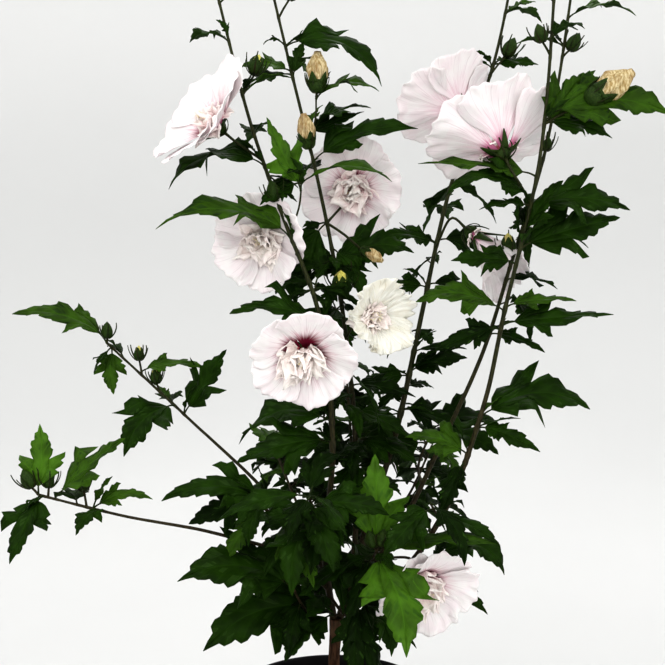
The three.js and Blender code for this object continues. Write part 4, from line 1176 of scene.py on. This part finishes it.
skinLooks = {  # three shades, then the grain's scale, roughness, bump, gloss and stretch along the height
    "petioleSkin": (((0.008, 0.015, 0.0025), (0.02, 0.034, 0.006), (0.03, 0.02, 0.008)),
                    700, 0.42, (0.2, 0.0004), 0.12, 1),
    "calyxSkin": (((0.012, 0.027, 0.0035), (0.027, 0.056, 0.008), (0.04, 0.065, 0.012)),
                  900, 0.45, (0.3, 0.0004), 0.12, 1),
    "budTip": (((0.5, 0.45, 0.06), (0.64, 0.6, 0.16), (0.5, 0.36, 0.2)), 500, 0.5, (0.3, 0.0005), 0.5, 1),
    "driedPetal": (((0.36, 0.25, 0.1), (0.72, 0.6, 0.36), (0.22, 0.11, 0.04)),
                   520, 0.65, (1, 0.002), 0.12, 0.3),
    "barkSkin": (((0.03, 0.013, 0.006), (0.085, 0.042, 0.022), (0.13, 0.085, 0.05)),
                 420, 0.6, (0.8, 0.0014), 0.12, 0.22),
    "soilSkin": (((0.008, 0.005, 0.004), (0.03, 0.019, 0.012), (0.055, 0.036, 0.021)),
                 260, 0.75, (1, 0.003), 0.5, 1),
    "chipSkin": (((0.035, 0.017, 0.009), (0.095, 0.05, 0.026), (0.15, 0.095, 0.055)),
                 300, 0.65, (0.8, 0.002), 0.5, 1),
}
skins = {name: skinMaterial(name, *look) for name, look in skinLooks.items()}


# Growing on from the limbs, by the same rule as in the construction model

stemPlan = {
    "ringEvery": 4,
    "swell": 0.28,  # how much thicker a node is than the stem, and how far its swelling reaches
    "swellReach": 2.6,
    "twigTaper": 0.76,
    "twigDip": 8,
    "openBuds": 0.35,
    "tipLeaves": 5,
    "tipTurn": 137.5,
    "tipLengths": (17, 30),
}
youngPlan = {  # young leaves in the axils: how often, their turn and rise from the old leaf, and the rest
    "share": 0.5, "turn": (-45, 45), "rise": (15, 45), "length": (18, 36), "droop": (20, 60),
    "roll": (-30, 30),
}
stems = {}
greens = Heap()  # stems, stalks, buds and husks
fineDraws = Draws(77)


def stemTube(heap, stem, low, high, sides, swells):
    shares = np.linspace(low, high, max(6, int(stem.length * (high - low) / stemPlan["ringEvery"])))
    swell = np.zeros_like(shares)
    for place in swells:
        swell = np.maximum(swell, np.exp(-((shares - place) * stem.length / stemPlan["swellReach"]) ** 2))
    radii = stem.radius(shares) * (1 + stemPlan["swell"] * swell)
    turn = turns(sides)[None]
    along = shares[:, None]
    wobble = 1 + 0.03 * np.sin(3 * turn + 40 * along) + 0.02 * np.sin(5 * turn + 90 * along)
    tube(heap, stem.at(shares), radii[:, None] * wobble, sides)


def growTwig(stem, share, bearing, lift, length, girth):
    root = stem.point(share)
    end = root + heading(bearing, lift) * length
    bend = root + heading(bearing, lift - stemPlan["twigDip"]) * length * 0.5
    twig = Stem([root, bend, end], girth / 2, stemPlan["twigTaper"] * girth / 2)
    stemTube(greens, twig, 0, 1, 7, [1])
    return twig


spurRule = {
    "draws": Draws(2029), "along": (0.2, 0.8), "turn": 0.618, "spread": 0.3, "lift": (15, 50),
    "length": (0.7, 1.3), "girth": 2.2, "leaves": [(-1, 0.62, ""), (1, 0.98, "")], "fan": (40, 75),
    "leafLift": (-40, 20), "leafSize": (0.75, 1.15), "droop": (30, 65), "roll": (-35, 35),
    "tipLeaf": (0.4, 0.6),
}
# The fine twigs' leaves take the deep and dark greens, which are painted shade.
fineRule = {
    "draws": Draws(3301), "along": (0.1, 0.9), "turn": 0, "spread": 1, "lift": (0, 50),
    "length": (8, 16), "girth": 1.8, "leaves": [(-1, 1, "deep"), (1, 1, "dark")], "fan": (20, 60),
    "leafLift": (-45, 15), "leafSize": (0.7, 1.1), "droop": (30, 65), "roll": (-40, 40),
}
fineTwigs = [  # stem, count, shares from and to, bearings from and to, reach, leaf length
    ["left_leader", 4, 0.03, 0.2, 190, 330, 1, 60],
    ["left_leader", 2, 0.3, 0.5, 100, 170, 1, 44],
    ["middle_leader", 3, 0.42, 0.5, 190, 350, 1, 38],
    ["middle_leader", 4, 0.1, 0.35, 200, 340, 1, 58],
    ["core_front", 3, 0.3, 1, 200, 340, 1, 58],
    ["low_front", 2, 0.4, 1, 180, 330, 1, 56],
    ["inner_right_leader", 2, 0.4, 0.62, 160, 350, 1, 44],
    ["right_leader", 3, 0.3, 0.6, 60, 130, 1, 40],
    ["back_left", 3, 0.2, 0.9, 40, 120, 1, 46],
    ["back_middle", 3, 0.2, 0.9, 0, 180, 1, 58],
    ["back_right", 3, 0.2, 0.9, 0, 160, 1, 58],
    ["low_back", 2, 0.2, 0.9, 0, 180, 1, 58],
]


def growSide(rule, name, count, low, high, left, right, reach, size):  # short side twigs with leaves
    stem = stems[name]
    draws = rule["draws"]
    for k in range(count):
        share = low + (high - low) * (k + draws.between(*rule["along"])) / count
        bearing = left + (right - left) * ((k * rule["turn"] + draws.between(0, rule["spread"])) % 1)
        lift = draws.between(*rule["lift"])
        twig = growTwig(stem, share, bearing, lift, reach * draws.between(*rule["length"]), rule["girth"])
        for fan, place, toneAndShade in rule["leaves"]:
            leaf = (1, bearing + fan * draws.between(*rule["fan"]), draws.between(*rule["leafLift"]),
                    size * draws.between(*rule["leafSize"]), draws.between(*rule["droop"]),
                    draws.between(*rule["roll"]), toneAndShade)
            layLeaf(name, twig.point(place), leaf, greens)
        if "tipLeaf" in rule:
            turned = bearing + fineDraws.about(25)
            small = (1, turned, lift + 10, size * fineDraws.between(*rule["tipLeaf"]), 45, 0)
            layLeaf(name, twig.point(1), small, greens)


def plantStem(name, plan):
    points = list(plan["way"])
    if "from" in plan:
        parent, share = plan["from"]
        points.insert(0, stems[parent].point(share))
    stems[name] = Stem(points, plan["girth"][0] / 2, plan["girth"][1] / 2)


def growAlong(name, stem, plan):
    for leaf in plan.get("leaves", []):
        layLeaf(name, stem.point(leaf[0]), leaf, greens)
        if leaf[0] < 0.99 and fineDraws.between(0, 1) < youngPlan["share"]:
            turn, rise, *rest = (fineDraws.between(*youngPlan[key])
                                 for key in ("turn", "rise", "length", "droop", "roll"))
            layLeaf(name, stem.point(leaf[0]), (leaf[0], leaf[1] + turn, leaf[2] + rise, *rest), greens)
    for bud in plan.get("buds", []):
        opening = fineDraws.between(0, 1) < stemPlan["openBuds"] or len(bud) > 5
        growBud(greens, stem.point(bud[0]), bud, fineDraws, opening)
    for husk in plan.get("husks", []):
        growHusk(greens, stem.point(husk[0]), husk, fineDraws)


for name, plan in limbs.items():
    plantStem(name, plan)
boughs = Heap()
for name, plan in limbs.items():
    stem = stems[name]
    swells = [row[0] for row in plan["leaves"] + plan.get("buds", [])]
    bare = plan.get("bare", 0)
    if bare:
        stemTube(boughs, stem, 0, bare, 18, swells)
    stemTube(greens, stem, max(bare - 0.004, 0), 1, 12, swells)
for name, plan in limbs.items():
    growAlong(name, stems[name], plan)
    for twig in plan.get("twigs", []):
        measures = [twig[key] for key in ("at", "bearing", "lift", "length", "girth")]
        growAlong(name, growTwig(stems[name], *measures), twig)
for name, plan in limbs.items():
    if "spurs" in plan:
        growSide(spurRule, name, *plan["spurs"])
for row in fineTwigs:
    growSide(fineRule, *row)
for name in [limb for limb in limbs if limb.endswith("leader")]:
    for k in range(stemPlan["tipLeaves"]):  # the youngest leaves round each tip
        bearing = stemPlan["tipTurn"] * k + fineDraws.about(20)
        young = (1, bearing, 40 + 8 * k, fineDraws.between(*stemPlan["tipLengths"]), 45, 0, "mid")
        layLeaf(name, stems[name].point(1), young, greens)
print("leaves laid:", leafCount)

masses = [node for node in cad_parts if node.endswith("_foliage")]
bareBoughs = [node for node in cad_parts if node.endswith("_bough")]
boughs.piece("boughs", [stemSkin], "green_stems", bareBoughs)
for k, heap in enumerate(foliage.heaps):
    heap.piece(f"leaves_{k}", leafMaterials, "foliage", masses if k == 0 else (), mapped=True)

freshLook = {
    "front": "petalFresh", "middle": "tuftFresh", "back": "petalBack", "ruffle": 1.1, "crinkle": 1,
    "petaloids": 34, "tuft": 1.25, "gap": 0.45, "sag": 0.15, "anthers": 34, "wilt": 0,
}
looks = {  # what each kind of bloom has that a fresh one hasn't
    "fresh": {},
    "open": {"front": "petalOpen", "middle": "tuftPale", "ruffle": 0.8, "crinkle": 0.8, "tuft": 1.15,
             "gap": 0.92, "sag": 0.2},
    "pale": {"front": "petalPale", "middle": "tuftPale", "ruffle": 1.2, "gap": 0.25, "anthers": 30},
    "cream": {"front": "petalCream", "middle": "tuftPale", "back": "petalCream", "ruffle": 2.8, "crinkle": 3,
              "petaloids": 26, "tuft": 1.2, "gap": 0, "sag": 0.1, "anthers": 20},
    "side": {"ruffle": 0.6, "crinkle": 0.6, "petaloids": 20, "tuft": 0.8, "gap": 0, "sag": 0.1,
             "anthers": 20},
    "behind": {"petaloids": 12, "tuft": 0.6, "anthers": 20},
    "furled": {"front": "petalPale", "middle": "tuftPale", "ruffle": 0.9, "crinkle": 0.8, "petaloids": 8,
               "tuft": 0.9, "gap": 0, "sag": 0, "anthers": 0, "wilt": 0.5},
}
seed = 40
for name, plan in limbs.items():
    for k, bloom in enumerate(plan.get("blooms", [])):
        seed += 13
        site = bloomSite(bloom)
        end, (toward, _, _) = site[:2]
        start = stems[bloom[6] if len(bloom) > 6 else name].point(bloom[0])
        arrive = end - toward * 0.35 * np.linalg.norm(end - start)
        steps = np.linspace(0, 1, 16)
        radii = np.interp(steps, bloomPlan["stalkWay"], bloomPlan["stalkRadii"])
        tube(greens, Stem([start, arrive, end, end + toward * 4]).at(steps), radii, 9)
        growCalyx(greens, site, fineDraws)
        growBloom(f"bloom_{name}_{k}", site, {**freshLook, **looks[bloom[5]]}, seed)
greenSkins = [stemSkin] + [skins[name] for name in ("petioleSkin", "calyxSkin", "budTip", "driedPetal")]
greens.piece("greens", greenSkins, "foliage")


# Trunk, pot and soil

trunkPlan = {
    "way": [(2, 0, 156.3), (1.5, -0.6, 202), (4, 1.5, 248)],
    "radii": (11, 5.6, 7.2),
    "ridges": 0.085,
    "flare": 0.14,
    "reliefs": [(2.6, 3.2, 1), (7, 14, 0.45)],  # the noise's girth, length and strength
    "sides": 44,
    "rings": 84,
}


def growTrunk():
    shares = np.linspace(0, 1, trunkPlan["rings"])
    foot, waist, knuckle = trunkPlan["radii"]
    radii = waist + (foot - waist) * (1 - shares) ** 6 + (knuckle - waist) * shares ** 5
    turn = turns(trunkPlan["sides"])
    relief = np.zeros((len(shares), len(turn)))
    for girth, length, strength in trunkPlan["reliefs"]:
        for row, share in enumerate(shares):
            for k, angle in enumerate(turn):
                spot = Vector((math.cos(angle) * girth, math.sin(angle) * girth, share * length))
                relief[row, k] += strength * noise.noise(spot)
    flare = trunkPlan["flare"] * np.cos(4 * turn + 0.6)[None] * ((1 - shares) ** 3)[:, None]
    relief = 1 + trunkPlan["ridges"] * relief + flare
    heap = Heap()
    tube(heap, Stem(trunkPlan["way"]).at(shares), radii[:, None] * relief, len(turn))
    heap.piece("trunk_bark", [skins["barkSkin"]], "bark", ["trunk"])


potPlan = {
    "height": 175,
    "rimRadius": 98.5,
    "baseRadius": 72,
    "wall": 1.6,
    "bandHeight": 16,
    "bandStep": 2.2,
    "lip": 1.7,
    "drains": (6, 5, 50),  # how many, their radius and the radius of their circle
    "segments": 128,
}


def potInner(height):
    lean = (potPlan["rimRadius"] - potPlan["bandStep"] - potPlan["baseRadius"]) / potPlan["height"]
    return potPlan["baseRadius"] + lean * height - potPlan["wall"]


def makePot():
    height, band, wall = potPlan["height"], potPlan["bandHeight"], potPlan["wall"]
    base, rim = potPlan["baseRadius"], potPlan["rimRadius"]
    foot = height - band
    outer = potInner(foot) + wall
    profile = [(8, 0.6), (30, 0.6), (62, 0.6), (64, 0), (base - 2, 0), (base - 0.6, 0.5), (base, 2)]
    for level in range(8, int(foot) - 6, 5):  # shallow rings moulded into the wall
        profile.append((potInner(level) + wall + 0.25 * math.cos(level * 0.62), level))
    profile += [(outer, foot - 3), (outer + 0.2, foot - 0.8), (rim - 1.6, foot), (rim - 0.7, foot + 0.9)]
    profile += [(rim - 0.35, foot + 5), (rim - 0.15, height - 5)]
    lip = potPlan["lip"]
    for angle in np.radians(np.linspace(-10, 180, 7)):  # the rolled lip
        profile.append((rim - lip + lip * math.cos(angle), height - 1.75 + lip * math.sin(angle)))
    profile += [(rim - 3.6, height - 5), (potInner(foot), foot - 2), (potInner(80), 80), (potInner(4), 4)]
    profile += [(base - 4, wall), (40, wall), (8, wall)]
    made = revolved(profile, potPlan["segments"]).piece("nursery_pot", [potPlastic], "pot", ["pot"])
    count, radius, circle = potPlan["drains"]
    cutters = []
    for k, angle in enumerate(turns(count)):
        drill = Heap()
        x, y = circle * math.cos(angle), circle * math.sin(angle)
        tube(drill, np.array([[x, y, z] for z in (-4, 0, 5)]), [radius] * 3, 28)
        cutter = drill.piece(f"drill_{k}", [potPlastic], "pot")
        cut = made.modifiers.new(f"drain_{k}", "BOOLEAN")
        cut.object = cutter
        cut.operation = "DIFFERENCE"
        cutters.append(cutter)
    bpy.context.view_layer.update()
    solid = bpy.data.meshes.new_from_object(made.evaluated_get(bpy.context.evaluated_depsgraph_get()))
    made.modifiers.clear()
    made.data = solid
    for cutter in cutters:
        bpy.data.objects.remove(cutter)


soilPlan = {
    "depth": 19, "crown": 3, "lump": 2.2, "segments": 120, "rings": 46, "seed": 515, "chips": 520,
    "chipSizes": (3, 9), "chipWidths": (0.25, 0.45), "chipHeights": (0.12, 0.25), "chipJitter": (0.7, 1.1),
    "chipTilt": 0.5, "chipRise": 1.5,
}


def soilTop(radius):
    return potPlan["height"] - soilPlan["depth"] - soilPlan["crown"] * eased(radius, 20, 90)


def makeSoil():
    top = potPlan["height"] - soilPlan["depth"]
    low = potPlan["wall"] + 0.3
    rings = [(radius, soilTop(radius)) for radius in np.linspace(potInner(150) - 0.5, 1.5, soilPlan["rings"])]
    profile = [(8, low), (potPlan["baseRadius"] - 6, low)]
    profile += [(potInner(level) - 0.3, level) for level in (low + 4, 80)]
    heap = revolved(profile + rings, soilPlan["segments"])
    corners = heap.corners[0]
    for k, (x, y, z) in enumerate(corners):
        if z > top - 6:
            away = min(1, max(0, (math.hypot(x, y) - 10) / 8))
            lump = noise.noise(Vector((x * 0.09, y * 0.09, 3)))
            lump += 0.6 * noise.noise(Vector((x * 0.3, y * 0.3, 8)))
            corners[k, 2] = z + soilPlan["lump"] * lump * away
    heap.piece("potting_mix", [skins["soilSkin"]], "soil", ["soil"])
    draws = Draws(soilPlan["seed"])
    chips = Heap()
    box = np.array([(x, y, z) for x in (-1, 1) for y in (-1, 1) for z in (-1, 1)], float)
    faces = np.array([(0, 1, 3, 2), (4, 6, 7, 5), (0, 4, 5, 1), (2, 3, 7, 6), (0, 2, 6, 4), (1, 5, 7, 3)])
    for _ in range(soilPlan["chips"]):
        size = draws.between(*soilPlan["chipSizes"])
        radius = min(14 + (potInner(150) - 20) * math.sqrt(draws.between(0, 1)) * 0.98, potInner(150) - 6)
        angle = draws.angle()
        wide, high = (draws.between(*soilPlan[key]) for key in ("chipWidths", "chipHeights"))
        jitter = np.array([[draws.between(*soilPlan["chipJitter"]) for _ in range(3)] for _ in box])
        spin = draws.between(0, math.pi)
        tilt = draws.about(soilPlan["chipTilt"])
        turned = np.array(Matrix.Rotation(spin, 3, "Z") @ Matrix.Rotation(tilt, 3, "Y"))
        level = soilTop(radius) + draws.between(0, soilPlan["chipRise"])
        place = [radius * math.cos(angle), radius * math.sin(angle), level]
        chips.add((box * jitter * size * [0.5, wide, high]) @ turned.T + place, [faces])
    chips.piece("bark_chips", [skins["chipSkin"]], "soil")


growTrunk()
makePot()
makeSoil()
print("pieces made")


# Stage, light and camera

stagePlan = {  # metres
    "middle": [0.02, 0.3, 0.6],  # radii of the rings on the flat floor
    "floor": 0.9,
    "fillet": 3.1,
    "steps": 24,
    "high": 4.4,
    "below": 0.0004,
    "sides": 96,
}


def makeStage():
    floor, fillet, steps = stagePlan["floor"], stagePlan["fillet"], stagePlan["steps"]
    profile = [(radius, 0) for radius in stagePlan["middle"]]
    for angle in np.linspace(0, math.pi / 2, steps + 1):
        profile.append((floor + fillet * math.sin(angle), fillet * (1 - math.cos(angle))))
    profile.append((floor + fillet, stagePlan["high"]))
    rings = (np.array(profile) - [0, stagePlan["below"]]) / mm
    made = revolved(rings, stagePlan["sides"], closed=False).build("studio_floor", [paper])


lights = {  # place, aim, size, watts
    "keySoftbox": ((-1.1, -1.5, 2.3), (0, 0, 0.55), 1.6, 16.5),
    "fillSoftbox": ((1.7, -1.5, 1.3), (0, 0, 0.5), 1.6, 12),
    "frontSoftbox": ((-0.15, -1.9, 1.0), (0, 0, 0.55), 1.4, 8.5),
    "backSoftbox": ((0.4, 1.7, 2.4), (0, 0.1, 0.6), 1.4, 11),
}
airPlan = {"Color": (1, 1, 0.99, 1), "Strength": 1.15}


def makeLights():
    for name, (place, aim, size, watts) in lights.items():
        lamp = bpy.data.lights.new(name, "AREA")
        lamp.shape = "DISK"
        lamp.size = size
        lamp.energy = watts
        made = linked(name, lamp)
        made.location = place
        made.rotation_euler = (Vector(aim) - Vector(place)).to_track_quat("-Z", "Y").to_euler()
        made.visible_camera = False
    world = bpy.data.worlds.new("studioAir")
    world.use_nodes = True
    air = world.node_tree.nodes["Background"]
    for socket, value in airPlan.items():
        air.inputs[socket].default_value = value
    bpy.context.scene.world = world


cameraPlan = {"place": (0, -1.1, 0.6183), "pitch": 4, "lens": 59.55, "sensor": 36, "near": 0.05}


def makeCamera():
    seen = bpy.data.cameras.new("camera")
    seen.lens = cameraPlan["lens"]
    seen.sensor_width = cameraPlan["sensor"]
    seen.clip_start = cameraPlan["near"]
    made = linked("camera", seen)
    made.location = cameraPlan["place"]
    made.rotation_euler = (math.radians(90 - cameraPlan["pitch"]), 0, 0)
    bpy.context.scene.camera = made


makeStage()
makeLights()
makeCamera()
bpy.context.scene.view_settings.view_transform = "Standard"
bpy.context.scene.view_settings.look = "Medium High Contrast"
print("stage, light and camera made")
